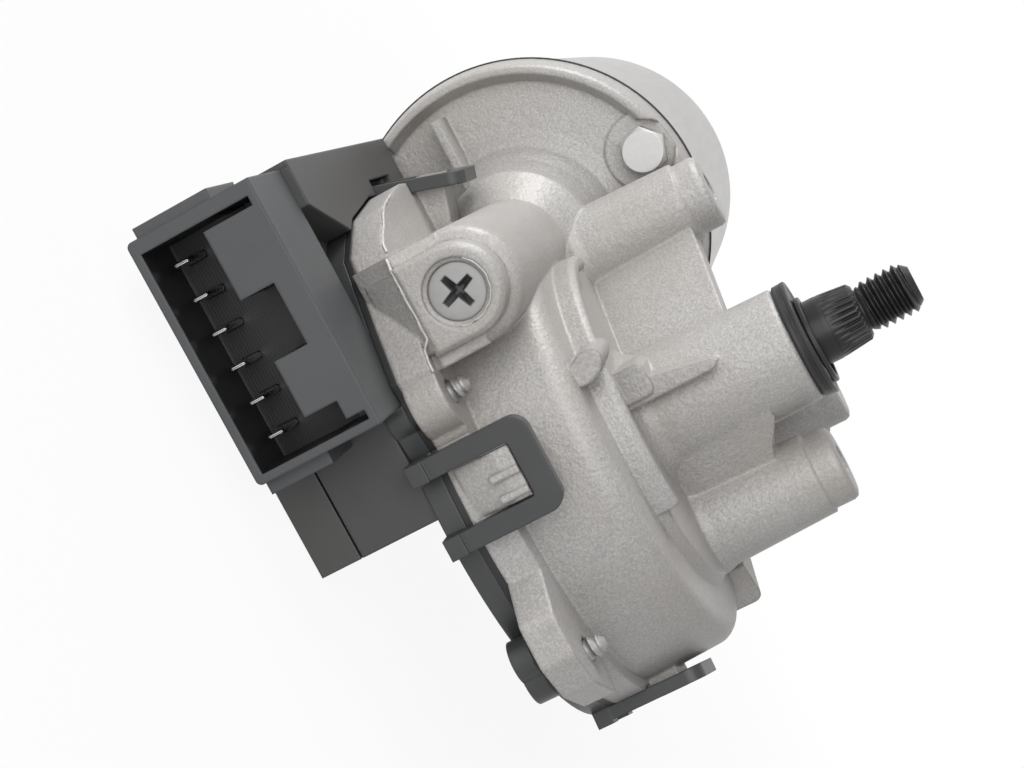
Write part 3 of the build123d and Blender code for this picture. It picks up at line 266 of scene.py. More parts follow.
def plated(name, level, warmth, roughness, metallic=1.0, edge=0.12, painted_shade_box=None):
    """Plated or ground metal with faint scratches, with painted shade that darkens it inside a given box."""
    f = Finish(name, Metallic=metallic)
    haze = f.noise(1.2, detail=4.0, rough=0.6)
    scratch = f.noise(0.6, stretch=(1.0, 1.0, 0.08), seed=5.0)
    shade = f.mottled(haze, level, warmth, 0.86, 1.1)
    # Painted shade: inside the box the colour falls to a quarter of its level
    if painted_shade_box:
        shade = f.blend(f.inside(painted_shade_box), shade, grey(level * 0.25, warmth))
    return f.feed(Base_Color=shade, Roughness=roughness + haze * 0.14 - 0.05,
                  Normal=f.bump(scratch, 0.006, 0.5, f.soft_edges(edge)))


def tinted(name, low, high, roughness, metallic=0.0, grain=0.4):
    """Any other stuff: two tones of one colour in a fine grain."""
    f = Finish(name, Metallic=metallic)
    spark = f.noise(grain, detail=3.0, rough=0.6)
    shade = f.blend(spark, (*low, 1), (*high, 1))
    return f.feed(Base_Color=shade, Roughness=uneven(roughness, spark, 0.12), Normal=f.bump(spark, 0.01, 0.5))


# The plug socket's hollow, as two corners in the row's frame: inside it the connector's colour is darkened as
# painted shade
SOCKET_PAINTED_SHADE = ((-0.0735, -0.0520, -0.0620), (-0.0406, -0.0395, -0.0500))

IRON_TONES = ((0.20, 0.20, 0.21), (0.32, 0.32, 0.33))

# Near-grey stuffs give their level, warmth and roughness. Tinted ones give two tones and a roughness.
FINISHES = {
    "cast_aluminium": cast_aluminium(),
    "can_steel": can_steel(),
    "gasket_rubber": moulded("gasket_rubber", 0.014, 0.0, 0.5, grain=0.2),
    "zinc_steel": plated("zinc_steel", 0.42, 0.01, 0.38, metallic=0.8),
    "dark_steel": plated("dark_steel", 0.035, 0.0, 0.36, metallic=0.6),
    "shaft_steel": plated("shaft_steel", 0.022, 0.0, 0.34, metallic=0.55),
    "bearing_steel": plated("bearing_steel", 0.66, 0.0, 0.16),
    "bearing_bronze": tinted("bearing_bronze", (0.42, 0.25, 0.10), (0.58, 0.37, 0.17), 0.42, metallic=1.0),
    "lamination_steel": tinted("lamination_steel", *IRON_TONES, 0.45, metallic=0.8),
    "copper": tinted("copper", (0.62, 0.27, 0.13), (0.80, 0.40, 0.21), 0.34, metallic=1.0),
    "magnet_ferrite": tinted("magnet_ferrite", (0.06, 0.06, 0.065), (0.11, 0.11, 0.12), 0.6),
    "carbon": tinted("carbon", (0.03, 0.03, 0.03), (0.06, 0.06, 0.06), 0.5),
    "wheel_plastic": tinted("wheel_plastic", (0.72, 0.69, 0.58), (0.80, 0.77, 0.67), 0.42),
    "holder_plastic": moulded("holder_plastic", 0.05, 0.0, 0.5),
    "black_plastic": moulded("black_plastic", 0.018, 0.0, 0.42),
    "cover_plastic": moulded("cover_plastic", 0.050, -0.03, 0.38),
    "connector_plastic": milled("connector_plastic", 0.075, -0.05, 0.48, pitch=0.45, painted_shade_box=SOCKET_PAINTED_SHADE),
    "box_plastic": milled("box_plastic", 0.060, 0.01, 0.50, pitch=0.45),
    "lid_plastic": moulded("lid_plastic", 0.066, 0.025, 0.44),
    "pin_tin": plated("pin_tin", 0.66, 0.03, 0.22),
    "board_green": tinted("board_green", (0.02, 0.14, 0.06), (0.04, 0.20, 0.09), 0.35),
    "spring_bronze": tinted("spring_bronze", (0.60, 0.42, 0.20), (0.74, 0.55, 0.28), 0.3, metallic=1.0),
}

slot_of = {part["node"]: part["material_slot"] for part in frame["record"]["subparts"]}
for name, thing in nodes.items():
    thing.data.materials.clear()
    thing.data.materials.append(FINISHES[slot_of[name]])


# Meshes and objects

def linked(name, data):
    """New object in the scene."""
    thing = bpy.data.objects.new(name, data)
    bpy.context.scene.collection.objects.link(thing)
    return thing


def plain_mesh(bm, name):
    """Mesh of a drawing, which is freed."""
    mesh = bpy.data.meshes.new(name)
    bm.to_mesh(mesh)
    bm.free()
    return mesh


def outward(bm):
    bmesh.ops.recalc_face_normals(bm, faces=bm.faces)
    return bm


def finished(bm, name, body, slot, stands_for=None, smooth_angle=35.0, finish=None):
    """Make a drawing one piece of the scene, smooth apart from its sharp edges, and hide the part it stands
    for.
    """
    outward(bm)
    for face in bm.faces:
        face.smooth = True
    for edge in bm.edges:
        edge.smooth = len(edge.link_faces) == 2 and edge.calc_face_angle(0) < math.radians(smooth_angle)
    bm.transform(TO_ROW)
    mesh = plain_mesh(bm, name)
    mesh.materials.append(finish or FINISHES[slot])
    piece = linked(name, mesh)
    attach(piece, body)
    if stands_for:
        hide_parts(stands_for)


def evaluated_mesh(thing):
    """Mesh of an object with its modifiers."""
    bpy.context.view_layer.update()
    return bpy.data.meshes.new_from_object(thing.evaluated_get(bpy.context.evaluated_depsgraph_get()))


def draw_mesh(bm, mesh):
    """Add a mesh to a drawing. The mesh goes."""
    bm.from_mesh(mesh)
    bpy.data.meshes.remove(mesh)


def circle(bm, radius, height, steps, place):
    """Corners of a circle about Z, or the one point that a circle without radius is."""
    if radius == 0:
        return [bm.verts.new(place @ Vector((0, 0, height)))]
    turns = [2 * math.pi * i / steps for i in range(steps)]
    return [bm.verts.new(place @ Vector((radius * math.cos(a), radius * math.sin(a), height))) for a in turns]


def bridge(bm, low, high):
    """Band of faces between two rings of corners. A single point makes it a fan."""
    for i in range(max(len(low), len(high))):
        j = i + 1
        corners = (low[i % len(low)], low[j % len(low)], high[j % len(high)], high[i % len(high)])
        unique = list(dict.fromkeys(corners))
        if len(unique) > 2:
            bm.faces.new(unique)


def lathe(bm, profile, steps=96, place=Matrix()):
    """Closed turned body about Z from a profile of radius and height that starts and ends on the axis."""
    rings = [circle(bm, radius, height, steps, place) for radius, height in profile]
    for low, high in zip(rings, rings[1:]):
        bridge(bm, low, high)


def ring(bm, profile, steps=96, place=Matrix()):
    """Closed turned ring about Z: the profile's last point joins its first."""
    rings = [circle(bm, radius, height, steps, place) for radius, height in profile]
    for low, high in zip(rings, rings[1:] + rings[:1]):
        bridge(bm, low, high)


def turned(degrees, axis="Z"):
    return Matrix.Rotation(math.radians(degrees), 4, axis)


# A screw on the motor's side faces the camera: its own Z points along -Y.
TO_FRONT = turned(90, "X")


# Threads and knurls by Geometry Nodes

class Shape(Graph):
    """A geometry node tree with named inputs."""

    def __init__(self, name):
        super().__init__(bpy.data.node_groups.new(name, "GeometryNodeTree"))
        self.tree.is_modifier = True
        for way in ("INPUT", "OUTPUT"):
            self.tree.interface.new_socket("Geometry", in_out=way, socket_type="NodeSocketGeometry")
        self.ids = {}
        self.entry = self.tree.nodes.new("NodeGroupInput")
        self.exit = self.tree.nodes.new("NodeGroupOutput")
        self.carrier = Wire(self, self.entry.outputs[0])

    def input(self, name, default, kind="NodeSocketFloat"):
        socket = self.tree.interface.new_socket(name, in_out="INPUT", socket_type=kind)
        socket.default_value = default
        self.ids[name] = socket.identifier
        return Wire(self, self.entry.outputs[name])

    def result(self, geometry, material):
        whole = self.node("GeometryNodeRealizeInstances", in0=geometry)
        painted = self.node("GeometryNodeSetMaterial", in0=whole, Material=material)
        self.tree.links.new(painted.socket, self.exit.inputs[0])

    def bake(self, name, carrier, **values):
        """Mesh of the tree on a carrier mesh, for these input values."""
        holder = linked(name, carrier)
        modifier = holder.modifiers.new("shape", "NODES")
        modifier.node_group = self.tree
        for key, value in values.items():
            modifier[self.ids[key]] = value
        mesh = evaluated_mesh(holder)
        bpy.data.objects.remove(holder)
        return mesh


FULL_TURN = 2 * math.pi
GROOVE_FLOOR_SHARE = 0.88       # where along its half wave a groove has reached its depth
WHOLE_WAVES = 64.0              # keep the phase above 0
WELD_DISTANCE = 0.001


def relief_tree():
    """Turned surface with a thread or a knurl cut in it, in millimetres."""
    t = Shape("turned_relief")
    base = t.input("base_radius", 4.0)
    top = t.input("top_radius", 4.0)
    length = t.input("length", 10.0)
    depth = t.input("depth", 0.7)
    threads = t.input("threads_per_mm", 0.0)
    teeth = t.input("teeth", 0.0)
    flat = t.input("flat_share", 0.08)
    fade = t.input("fade", 1.0)
    start_radius = t.input("start_radius", 99.0)
    start_slope = t.input("start_slope", 0.0)
    end_radius = t.input("end_radius", 99.0)
    end_slope = t.input("end_slope", 0.0)
    columns = t.input("columns", 97, "NodeSocketInt")
    rows = t.input("rows", 80, "NodeSocketInt")
    grid = t.node("GeometryNodeMeshGrid", Size_X=1.0, Size_Y=1.0, Vertices_X=columns, Vertices_Y=rows)
    across, up, _ = t.axes(t.node("GeometryNodeInputPosition"))
    around = (across + 0.5) * FULL_TURN
    along = (up + 0.5) * length
    share = around * (1 / FULL_TURN)
    helix = along * threads - share * t.math("GREATER_THAN", threads, 0.0)
    phase = t.math("FRACT", helix + share * teeth + WHOLE_WAVES)
    wave = t.math("ABSOLUTE", phase * 2.0 - 1.0)
    groove = t.math("MINIMUM", t.math("MAXIMUM", (wave - flat) / (GROOVE_FLOOR_SHARE - flat), 0.0), 1.0)
    cut = groove * depth * t.math("MINIMUM", along / fade, 1.0)
    radius = base + (top - base) * (along / length) - cut
    radius = t.math("MINIMUM", radius, start_radius + along * start_slope)
    radius = t.math("MINIMUM", radius, end_radius + (length - along) * end_slope)
    moved = t.node("ShaderNodeCombineXYZ", in0=radius * t.math("COSINE", around),
                   in1=radius * t.math("SINE", around), in2=along)
    shaped = t.node("GeometryNodeSetPosition", in0=grid, Position=moved)
    closed = t.node("GeometryNodeMergeByDistance", in0=shaped, Distance=WELD_DISTANCE)
    t.result(closed, FINISHES["shaft_steel"])
    return t


RELIEF = relief_tree()


def relief(bm, place, **values):
    """Add a threaded or knurled sleeve to a drawing."""
    mesh = RELIEF.bake("relief", bpy.data.meshes.new("relief_carrier"), **values)
    mesh.transform(place)
    draw_mesh(bm, mesh)


# Output shaft, drawn from the wheel up to its threaded tip. Pairs are from and to along Z.
SHAFT_R = 5.0
SHAFT_FOOT_Z = -40.4
SHAFT_FOOT_R = 3.4
SHAFT_FOOT_BEVEL = 1.2
TAPER = (7.2, 12.6)
TAPER_TOP_R = 4.4
TAPER_END_R = 3.8       # top of the taper inside its chamfer
KNURL_START_Z = 7.6
KNURL_TEETH = 30
KNURL_DEPTH = 0.36
KNURL_FADE = 2.4        # height over which the knurl runs out at its foot
KNURL_STEPS = 12        # mesh steps round one tooth
THREAD = (12.9, 21.15)
THREAD_R = 3.95
THREAD_PITCH = 1.25
THREAD_DEPTH = 0.70
TIP_R = 2.62            # flat end of the thread inside its chamfer


def output_shaft():
    bm = bmesh.new()
    foot, tip = SHAFT_FOOT_Z, THREAD[1]
    core_r = THREAD_R - THREAD_DEPTH - 0.1      # just under the thread's and the knurl's grooves
    inner_r = TAPER_TOP_R - 0.6
    lathe(bm, [(0, foot), (SHAFT_FOOT_R, foot), (SHAFT_R, foot + SHAFT_FOOT_BEVEL), (SHAFT_R, TAPER[0] - 0.3),
               (SHAFT_R - 0.02, TAPER[0]), (SHAFT_R - 0.1, KNURL_START_Z), (inner_r, KNURL_START_Z + 0.1),
               (inner_r, TAPER[1] - 0.1), (core_r, TAPER[1] - 0.1), (core_r, tip - 1.0), (2.2, tip - 0.02),
               (0, tip - 0.02)])
    relief(bm, Matrix.Translation((0, 0, THREAD[0])), base_radius=THREAD_R, top_radius=THREAD_R,
           length=tip - THREAD[0], depth=THREAD_DEPTH, threads_per_mm=1 / THREAD_PITCH, fade=0.01,
           start_radius=3.3, start_slope=0.45, end_radius=2.65, end_slope=0.85, columns=97, rows=130)
    ring(bm, [(2.0, tip - 0.3), (TIP_R, tip - 0.04), (TIP_R, tip), (2.0, tip)])
    slope = (TAPER_TOP_R - SHAFT_R) / (TAPER[1] - TAPER[0])
    foot_r = SHAFT_R + slope * (KNURL_START_Z - TAPER[0])
    relief(bm, Matrix.Translation((0, 0, KNURL_START_Z)), base_radius=foot_r,
           top_radius=TAPER_TOP_R, length=TAPER[1] - KNURL_START_Z, depth=KNURL_DEPTH,
           teeth=float(KNURL_TEETH), flat_share=0.42, fade=KNURL_FADE, end_radius=3.85, end_slope=1.2,
           columns=KNURL_TEETH * KNURL_STEPS + 1, rows=30)
    ring(bm, [(core_r - 0.2, TAPER[1] - 0.5), (TAPER_END_R + 0.03, TAPER[1] - 0.02), (TAPER_END_R, TAPER[1]),
              (core_r - 0.2, TAPER[1])])
    finished(bm, "shaft_with_thread", "output", "shaft_steel", "output_shaft")


CAP = (2.25, 4.35)      # underside and top of the cap washer
CAP_R = 9.0
CAP_BORE = SHAFT_R + 0.15
CAP_LINES = (0.72, 0.98, 1.24)      # above the underside
CAP_FACE_DROP = 0.12


def tower_cap():
    """Black cap washer with fine lines round its edge."""
    bm = bmesh.new()
    low, high = CAP
    face = high - CAP_FACE_DROP
    edge = [(CAP_R - 0.35, low), (CAP_R - 0.1, low + 0.18)]
    for line in CAP_LINES:
        edge += [(CAP_R - 0.08, low + line), (CAP_R - 0.24, low + line + 0.06),
                 (CAP_R - 0.04, low + line + 0.12)]
    ring(bm, [(CAP_BORE, low)] + edge + [(CAP_R, high - 0.16), (CAP_R - 0.14, high), (CAP_R - 0.8, high),
                                         (CAP_R - 1.0, face), (CAP_BORE + 0.3, face), (CAP_BORE, high - 0.3)])
    finished(bm, "cap_with_lines", "housing", "black_plastic", "tower_cap")


RETAINER = (4.42, 5.2)      # underside and top
RETAINER_R = 6.8
RETAINER_BORE = 5.95
RETAINER_OFFSET = Vector((0.75, -0.5, 0.0))


def retaining_ring():
    """Thin spring ring that has settled to one side."""
    bm = bmesh.new()
    low, high = RETAINER
    bevel, bore_bevel = 0.12, 0.1
    ring(bm, [(RETAINER_BORE, low + bore_bevel), (RETAINER_BORE + bore_bevel, low), (RETAINER_R - bevel, low),
              (RETAINER_R, low + bevel), (RETAINER_R, high - bevel), (RETAINER_R - bevel, high),
              (RETAINER_BORE + bore_bevel, high), (RETAINER_BORE, high - bore_bevel)],
         place=Matrix.Translation(RETAINER_OFFSET))
    finished(bm, "spring_ring", "output", "dark_steel", "retaining_ring")


# Screws and bolts

HEAD_FACE_SHARE = 0.93      # round face of a hexagon head, of its width across flats
HEAD_FOOT_BEVEL = 0.15


def hexagon_head(bm, place, across, thick, steps=72):
    """Hexagon head whose corners are turned off at 30 degrees."""
    face_r = across / 2 * HEAD_FACE_SHARE
    rows = [[], [], [], []]
    for i in range(steps):
        a = 2 * math.pi * i / steps
        corner = (a % (math.pi / 3)) - math.pi / 6
        r = across / 2 / math.cos(corner)
        drop = (r - face_r) * math.tan(math.radians(30))
        steps_up = ((r - HEAD_FOOT_BEVEL, 0.0), (r, HEAD_FOOT_BEVEL), (r, thick - drop), (face_r, thick))
        for row, (radius, height) in zip(rows, steps_up):
            row.append(bm.verts.new(place @ Vector((radius * math.cos(a), radius * math.sin(a), height))))
    for low, high in zip(rows, rows[1:]):
        bridge(bm, low, high)
    bm.faces.new(rows[-1])
    bm.faces.new(rows[0][::-1])


BOLT_CIRCLE_R = 24.1
BOLT_ANGLE = math.radians(9.7)
BOLT_SEAT_Y = 29.05
BOLT_HEAD = (7.0, 3.5)      # across flats, and thickness
BOLT_R = 2.5
BOLT_LENGTH = 8.3
BOLT_TURN = 42.0            # how the hexagons happen to stand


def can_bolts():
    bm = bmesh.new()
    shank_r = BOLT_R - 0.1
    for side in (1, -1):
        x = MOTOR_X - side * math.sin(BOLT_ANGLE) * BOLT_CIRCLE_R
        z = MOTOR_Z + side * math.cos(BOLT_ANGLE) * BOLT_CIRCLE_R
        place = Matrix.Translation((x, BOLT_SEAT_Y, z)) @ TO_FRONT
        hexagon_head(bm, place @ turned(BOLT_TURN), *BOLT_HEAD)
        lathe(bm, [(0, 0.2), (shank_r, 0.2), (shank_r, -BOLT_LENGTH + 0.6), (BOLT_R - 0.6, -BOLT_LENGTH),
                   (0, -BOLT_LENGTH)], 48, place)
    finished(bm, "hexagon_bolts", "housing", "zinc_steel", "can_bolts", smooth_angle=25.0)


THRUST_SCREW_R = 3.98
THRUST_SCREW_FACE_Y = -37.6
THRUST_SCREW_LENGTH = 4.6
CROSS = (2.6, 0.58, 2.2)        # reach of an arm, half its width, depth
CROSS_END_SHARE = 0.8           # width of an arm's end, of the width at its root
CROSS_TURN = 22.0
# The cross recess: inside this box the screw's colour is darkened as painted shade
CROSS_PAINTED_SHADE = ((-0.0540, -0.0386, -0.0350), (-0.0460, -0.0300, -0.0270))      # in the row's frame


def cross_cutter(place):
    """Tapered cross that is cut out of the thrust screw's face."""
    reach, half, depth = CROSS
    bm = bmesh.new()
    layers = []
    # Height, share of the reach and share of the width of each layer, from above the face down
    for height, long, wide in ((0.3, 1.05, 1.2), (-depth * 0.12, 0.96, 0.95), (-depth, 0.30, 0.45)):
        arm = ((half * wide, -half * wide), (reach * long, -half * wide * CROSS_END_SHARE),
               (reach * long, half * wide * CROSS_END_SHARE))
        turns = [place @ Matrix.Rotation(quarter * math.pi / 2, 4, "Z") for quarter in range(4)]
        layers.append([bm.verts.new(turn @ Vector((x, y, height))) for turn in turns for x, y in arm])
    for low, high in zip(layers, layers[1:]):
        bridge(bm, low, high)
    bm.faces.new(layers[0])
    bm.faces.new(layers[-1])
    return bm


def cut_out(body, cutter):
    """Mesh of one drawing less another."""
    body = linked("body", plain_mesh(outward(body), "body"))
    cutter = linked("cutter", plain_mesh(outward(cutter), "cutter"))
    modifier = body.modifiers.new("cut", "BOOLEAN")
    modifier.object = cutter
    modifier.solver = "EXACT"
    mesh = evaluated_mesh(body)
    for thing in (body, cutter):
        bpy.data.objects.remove(thing)
    return mesh


def thrust_screw():
    place = Matrix.Translation((MOTOR_X, THRUST_SCREW_FACE_Y, MOTOR_Z)) @ TO_FRONT
    body = bmesh.new()
    r = THRUST_SCREW_R
    lathe(body, [(0, 0.06), (2.6, 0.04), (r - 0.35, 0), (r - 0.12, -0.06), (r, -0.2),
                 (r, -THRUST_SCREW_LENGTH), (0, -THRUST_SCREW_LENGTH)], 96, place)
    bm = bmesh.new()
    draw_mesh(bm, cut_out(body, cross_cutter(place @ turned(CROSS_TURN))))
    # Blasted steel whose cross recess is darkened as painted shade
    blasted = plated("blasted_steel", 0.37, 0.01, 0.55, metallic=0.3, edge=0.25, painted_shade_box=CROSS_PAINTED_SHADE)
    finished(bm, "adjusting_screw", "housing", "zinc_steel", "thrust_screw", finish=blasted)


# The cover's screws stand round the rim's circle: angle, and distance outside it.
RIM_CENTRE = (-1.5, -2.0)
RIM_R = 37.2
SCREW_PLACES = [(RIM_CENTRE[0] + (RIM_R + out) * math.cos(math.radians(angle)),
                 RIM_CENTRE[1] + (RIM_R + out) * math.sin(math.radians(angle)))
                for angle, out in ((-118.9, 0.3), (-59.0, 3.2), (39.5, 3.1), (76.4, 3.3))]
SCREW_HEAD = (-47.6, -45.6)     # from and to along Z
SCREW_HEAD_R = 2.85
SCREW_TIP_Z = -35.9
SCREW_CORE_R = 1.3
SCREW_THREAD_START_Z = -44.6
SCREW_THREAD_R = 1.73
SCREW_THREAD_TOP_R = 1.68
SCREW_THREAD_DEPTH = 0.5
SCREW_PITCH = 1.3


def cover_screws():
    """Thread-forming screws: heads let into the cover, and threaded points that stand out of the rim."""
    bm = bmesh.new()
    low, head_top = SCREW_HEAD
    for x, y in SCREW_PLACES:
        place = Matrix.Translation((x, y, 0))
        lathe(bm, [(0, low + 0.6), (1.5, low + 0.6), (1.7, low), (2.6, low), (SCREW_HEAD_R, low + 0.3),
                   (SCREW_HEAD_R, head_top), (SCREW_CORE_R, head_top), (SCREW_CORE_R, SCREW_TIP_Z - 0.7),
                   (0.5, SCREW_TIP_Z), (0, SCREW_TIP_Z)], 48, place)
        relief(bm, Matrix.Translation((x, y, SCREW_THREAD_START_Z)), base_radius=SCREW_THREAD_R,
               top_radius=SCREW_THREAD_TOP_R, length=SCREW_TIP_Z - SCREW_THREAD_START_Z - 0.5,
               depth=SCREW_THREAD_DEPTH, threads_per_mm=1 / SCREW_PITCH, fade=0.4, end_radius=1.0,
               end_slope=0.8, columns=49, rows=64)
    dull = plated("dull_zinc", 0.34, 0.02, 0.50, metallic=0.6)
    finished(bm, "threaded_screws", "housing", "zinc_steel", "cover_screws", finish=dull)


# Plug blades
PIN_COUNT = 6
PIN_PITCH = 5.0
PIN_FIRST_X = MOTOR_X - 19.9
PIN_Z = -59.2
PIN_SIZE = (0.8, 2.8)       # thickness and width
PIN_TIP_Y = -46.5
PIN_TIP_LENGTH = 1.1
PIN_BACK_Y = -32.3
PIN_TOP_Z = -54.4
PIN_EDGE_R = 0.12


def blade():
    """One blade: a tip with four slopes, a flat run and the leg into the board."""
    thick, wide = PIN_SIZE
    bm = bmesh.new()
    rings = []
    # Place along Y, and shares of the thickness and the width there
    for y, s, h in ((PIN_TIP_Y, 0.35, 0.72), (PIN_TIP_Y + PIN_TIP_LENGTH, 1.0, 1.0), (PIN_BACK_Y, 1.0, 1.0)):
        rings.append([bm.verts.new(Vector((x * (thick / 2) * s, y, PIN_Z + z * (wide / 2) * h)))
                      for x, z in ((-1, -1), (1, -1), (1, 1), (-1, 1))])
    for low, high in zip(rings, rings[1:]):
        bridge(bm, low, high)
    bm.faces.new(rings[0])
    bm.faces.new(rings[-1])
    for vert in bmesh.ops.create_cube(bm, size=1.0)["verts"]:
        vert.co = Vector((vert.co.x * thick, PIN_BACK_Y - wide / 2 + vert.co.y * wide,
                          (PIN_Z + PIN_TOP_Z) / 2 + vert.co.z * (PIN_TOP_Z - PIN_Z)))
    return plain_mesh(outward(bm), "blade")


def row_tree():
    """Copies of the carrier mesh in a row."""
    t = Shape("row_of_copies")
    count = t.input("count", 6, "NodeSocketInt")
    pitch = t.input("pitch", 5.0)
    first = t.input("first", 0.0)
    line = t.node("GeometryNodeMeshLine", {"mode": "OFFSET"}, Count=count,
                  Start_Location=t.node("ShaderNodeCombineXYZ", in0=first),
                  Offset=t.node("ShaderNodeCombineXYZ", in0=pitch))
    copies = t.node("GeometryNodeInstanceOnPoints", Points=line, Instance=t.carrier)
    t.result(copies, FINISHES["pin_tin"])
    return t


def plug_blades():
    bm = bmesh.new()
    draw_mesh(bm, row_tree().bake("blades", blade(), count=PIN_COUNT, pitch=PIN_PITCH, first=PIN_FIRST_X))
    bmesh.ops.bevel(bm, geom=bm.edges[:], offset=PIN_EDGE_R, segments=2, affect="EDGES")
    finished(bm, "plug_blades", "housing", "pin_tin", "connector_pins")


# Ragged edges that the mould left on the casting: along the rim, under the screw's pad, round its bore
RIM_FLASH = [(-46.9, -11.0, -38.7), (-46.0, -16.5, -38.7), (-45.1, -20.0, -38.7), (-44.0, -22.4, -38.7),
             (-43.0, -24.8, -38.7), (-42.0, -27.1, -38.7), (-41.1, -29.3, -38.7), (-39.8, -30.1, -38.7)]
PAD_FLASH = [(-38.9, -36.6, -37.6), (-37.2, -37.9, -37.5), (-34.3, -38.0, -37.55), (-32.0, -38.0, -37.5),
             (-29.6, -38.0, -37.55), (-27.2, -38.0, -37.6), (-26.2, -38.0, -38.5), (-25.4, -38.4, -38.7),
             (-24.3, -38.9, -38.7), (-23.2, -39.3, -38.7)]
BORE_EDGE_R = 4.5
BORE_EDGE_Y = -38.55
BORE_FLASH = [(MOTOR_X + BORE_EDGE_R * math.cos(math.radians(a)), BORE_EDGE_Y,
               MOTOR_Z + BORE_EDGE_R * math.sin(math.radians(a))) for a in range(-20, 150, 10)]
FLASH_R = 0.24
BORE_FLASH_R = 0.13
FLASH_SWAY = 0.5
FLASH_STEP = 0.3
FLASH_SWELL = 3.4       # how the bead swells and shrinks with the noise, and its least share
FLASH_SHRINK = 0.8
FLASH_LEAST = 0.15


def ragged_tree():
    """Wavy bead of uneven thickness along the edges of the carrier mesh."""
    t = Shape("ragged_bead")
    radius = t.input("radius", 0.2)
    sway = t.input("sway", 0.5)
    line = t.node("GeometryNodeMeshToCurve", Mesh=t.carrier)
    line = t.node("GeometryNodeResampleCurve", {"mode": "LENGTH"}, Curve=line, Length=FLASH_STEP)
    spot = t.node("GeometryNodeInputPosition")
    wander = t.node("ShaderNodeTexNoise", out="Color", Vector=spot, Scale=0.9, Detail=2.0)
    aside = t.node("ShaderNodeVectorMath", {"operation": "SUBTRACT"}, in0=wander, in1=(0.5, 0.5, 0.5))
    aside = t.node("ShaderNodeVectorMath", {"operation": "SCALE"}, in0=aside, Scale=sway)
    line = t.node("GeometryNodeSetPosition", Geometry=line, Offset=aside)
    swell = t.node("ShaderNodeTexNoise", Vector=spot, Scale=1.4, Detail=3.0)
    uneven_radius = t.math("MAXIMUM", swell * FLASH_SWELL - FLASH_SHRINK, FLASH_LEAST)
    line = t.node("GeometryNodeSetCurveRadius", Curve=line, Radius=uneven_radius)
    section = t.node("GeometryNodeCurvePrimitiveCircle", {"mode": "RADIUS"}, Resolution=7, Radius=radius)
    bead = t.node("GeometryNodeCurveToMesh", Curve=line, Profile_Curve=section, Fill_Caps=True)
    t.result(bead, FINISHES["cast_aluminium"])
    return t


def casting_flash():
    tree = ragged_tree()
    bm = bmesh.new()
    for path, radius in ((RIM_FLASH, FLASH_R), (PAD_FLASH, FLASH_R), (BORE_FLASH, BORE_FLASH_R)):
        carrier = bpy.data.meshes.new("flash_path")
        carrier.from_pydata(path, [(i, i + 1) for i in range(len(path) - 1)], [])
        draw_mesh(bm, tree.bake("flash", carrier, radius=radius, sway=FLASH_SWAY))
    pale = tinted("pale_flash", (0.44, 0.43, 0.41), (0.60, 0.59, 0.57), 0.45, metallic=0.2, grain=0.3)
    finished(bm, "casting_flash", "housing", "cast_aluminium", smooth_angle=60.0, finish=pale)


output_shaft()
tower_cap()
retaining_ring()
can_bolts()
thrust_screw()
cover_screws()
plug_blades()
casting_flash()


# Stage, in metres

BACKGROUND_RAYS = ("Is Camera Ray", "Is Glossy Ray", "Is Transmission Ray")


def background_ray(graph):
    """1 for the rays that see the background: straight on, mirrored or through something clear."""
    path = graph.tree.nodes.new("ShaderNodeLightPath")
    camera, glossy, clear = [Wire(graph, path.outputs[name]) for name in BACKGROUND_RAYS]
    return graph.math("MAXIMUM", graph.math("MAXIMUM", camera, glossy), clear)


# Near the object a part of the floor's white is lit, and keeps the shadow.
FLOOR_GLOW = 0.92
SHADOW_REACH = (0.12, 0.34)
FLOOR_GAP = 0.0005          # under the lid
FLOOR_HALF = 3.0
FLOOR_CORNERS = ((-1, -1), (1, -1), (1, 1), (-1, 1))


def stage_floor():
    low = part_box("control_box_lid")[0].z - FLOOR_GAP
    mesh = bpy.data.meshes.new("floor")
    mesh.from_pydata([(x * FLOOR_HALF, y * FLOOR_HALF, low) for x, y in FLOOR_CORNERS], [], [(0, 1, 2, 3)])
    f = Finish("floor_white", Roughness=0.9, Base_Color=grey(0.9))
    glow = f.node("ShaderNodeEmission", Color=grey(1.0), Strength=1.0)
    away = f.node("ShaderNodeVectorMath", {"operation": "LENGTH"}, out="Value", in0=f.place)
    far = f.node("ShaderNodeMapRange", Value=away, From_Min=SHADOW_REACH[0], From_Max=SHADOW_REACH[1],
                 To_Min=FLOOR_GLOW, To_Max=1.0)
    lit = Wire(f, f.shader.outputs[0])
    mixed = f.node("ShaderNodeMixShader", in0=background_ray(f) * far, in1=lit, in2=glow)
    f.tree.links.new(mixed.socket, f.tree.nodes["Material Output"].inputs["Surface"])
    mesh.materials.append(f.material)
    linked("floor", mesh)


AMBIENT = 0.07


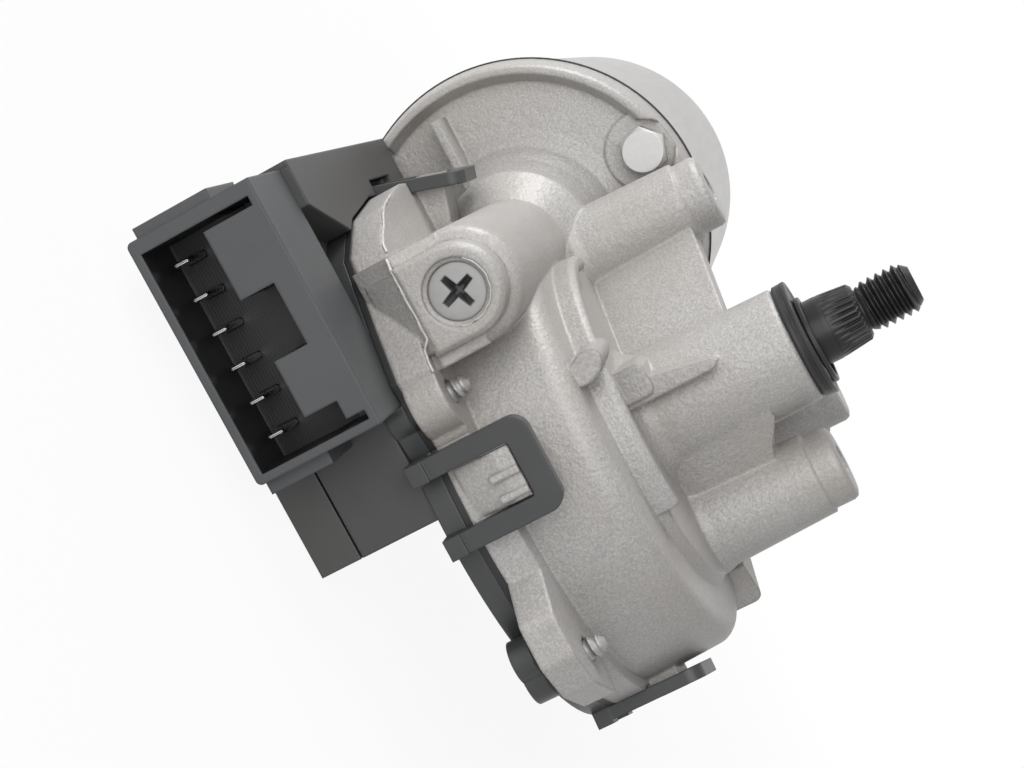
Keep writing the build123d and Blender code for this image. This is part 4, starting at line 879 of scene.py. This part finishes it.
def white_world():
    world = bpy.data.worlds.new("studio")
    bpy.context.scene.world = world
    world.use_nodes = True
    g = Graph(world.node_tree)
    back = world.node_tree.nodes["Background"]
    g.plug(back.inputs["Color"], grey(1.0))
    g.plug(back.inputs["Strength"], AMBIENT + background_ray(g) * (1.0 - AMBIENT))


# The camera that took the picture: its place in millimetres and the ways it faces, in the shaft's frame
CAMERA_PLACE = Vector((-37.577, -291.191, 22.656))
CAMERA_RIGHT = Vector((0.47277, 0.14370, 0.86939))
CAMERA_DOWN = Vector((0.87760, -0.16566, -0.44986))
CAMERA_AHEAD = Vector((0.07938, 0.97566, -0.20443))
FOCAL_PIXELS = 1990.0
PICTURE_WIDTH = 1024.0
SENSOR_WIDTH = 36.0


def photo_camera():
    data = bpy.data.cameras.new("camera")
    data.sensor_width = SENSOR_WIDTH
    data.lens = FOCAL_PIXELS / PICTURE_WIDTH * SENSOR_WIDTH
    data.clip_start = 0.01
    data.clip_end = 20.0
    own_axes = (CAMERA_RIGHT.normalized(), -CAMERA_DOWN.normalized(), -CAMERA_AHEAD.normalized())
    camera = linked("camera", data)
    camera.matrix_world = Matrix.Translation(TO_ROW @ CAMERA_PLACE) @ Matrix(own_axes).transposed().to_4x4()
    bpy.context.scene.camera = camera


LIT_POINT = Vector((-10, 10, -25))      # in millimetres, in the shaft's frame


def soft_light(name, side, up, towards, size, power):
    """Area light placed by how far it is to the picture's right, up and towards the camera."""
    centre = TO_ROW @ LIT_POINT
    place = centre + side * CAMERA_RIGHT - up * CAMERA_DOWN - towards * CAMERA_AHEAD
    data = bpy.data.lights.new(name, "AREA")
    data.shape = "RECTANGLE"
    data.size, data.size_y = size
    data.energy = power
    facing = (place - centre).to_track_quat("Z", "Y").to_matrix().to_4x4()
    linked(name, data).matrix_world = Matrix.Translation(place) @ facing


bpy.context.scene.view_settings.view_transform = "Standard"
stage_floor()
white_world()
photo_camera()
soft_light("key", side=0.03, up=0.22, towards=0.78, size=(0.80, 0.80), power=5.4)
soft_light("top", side=0.12, up=0.74, towards=0.06, size=(0.45, 0.30), power=4.2)
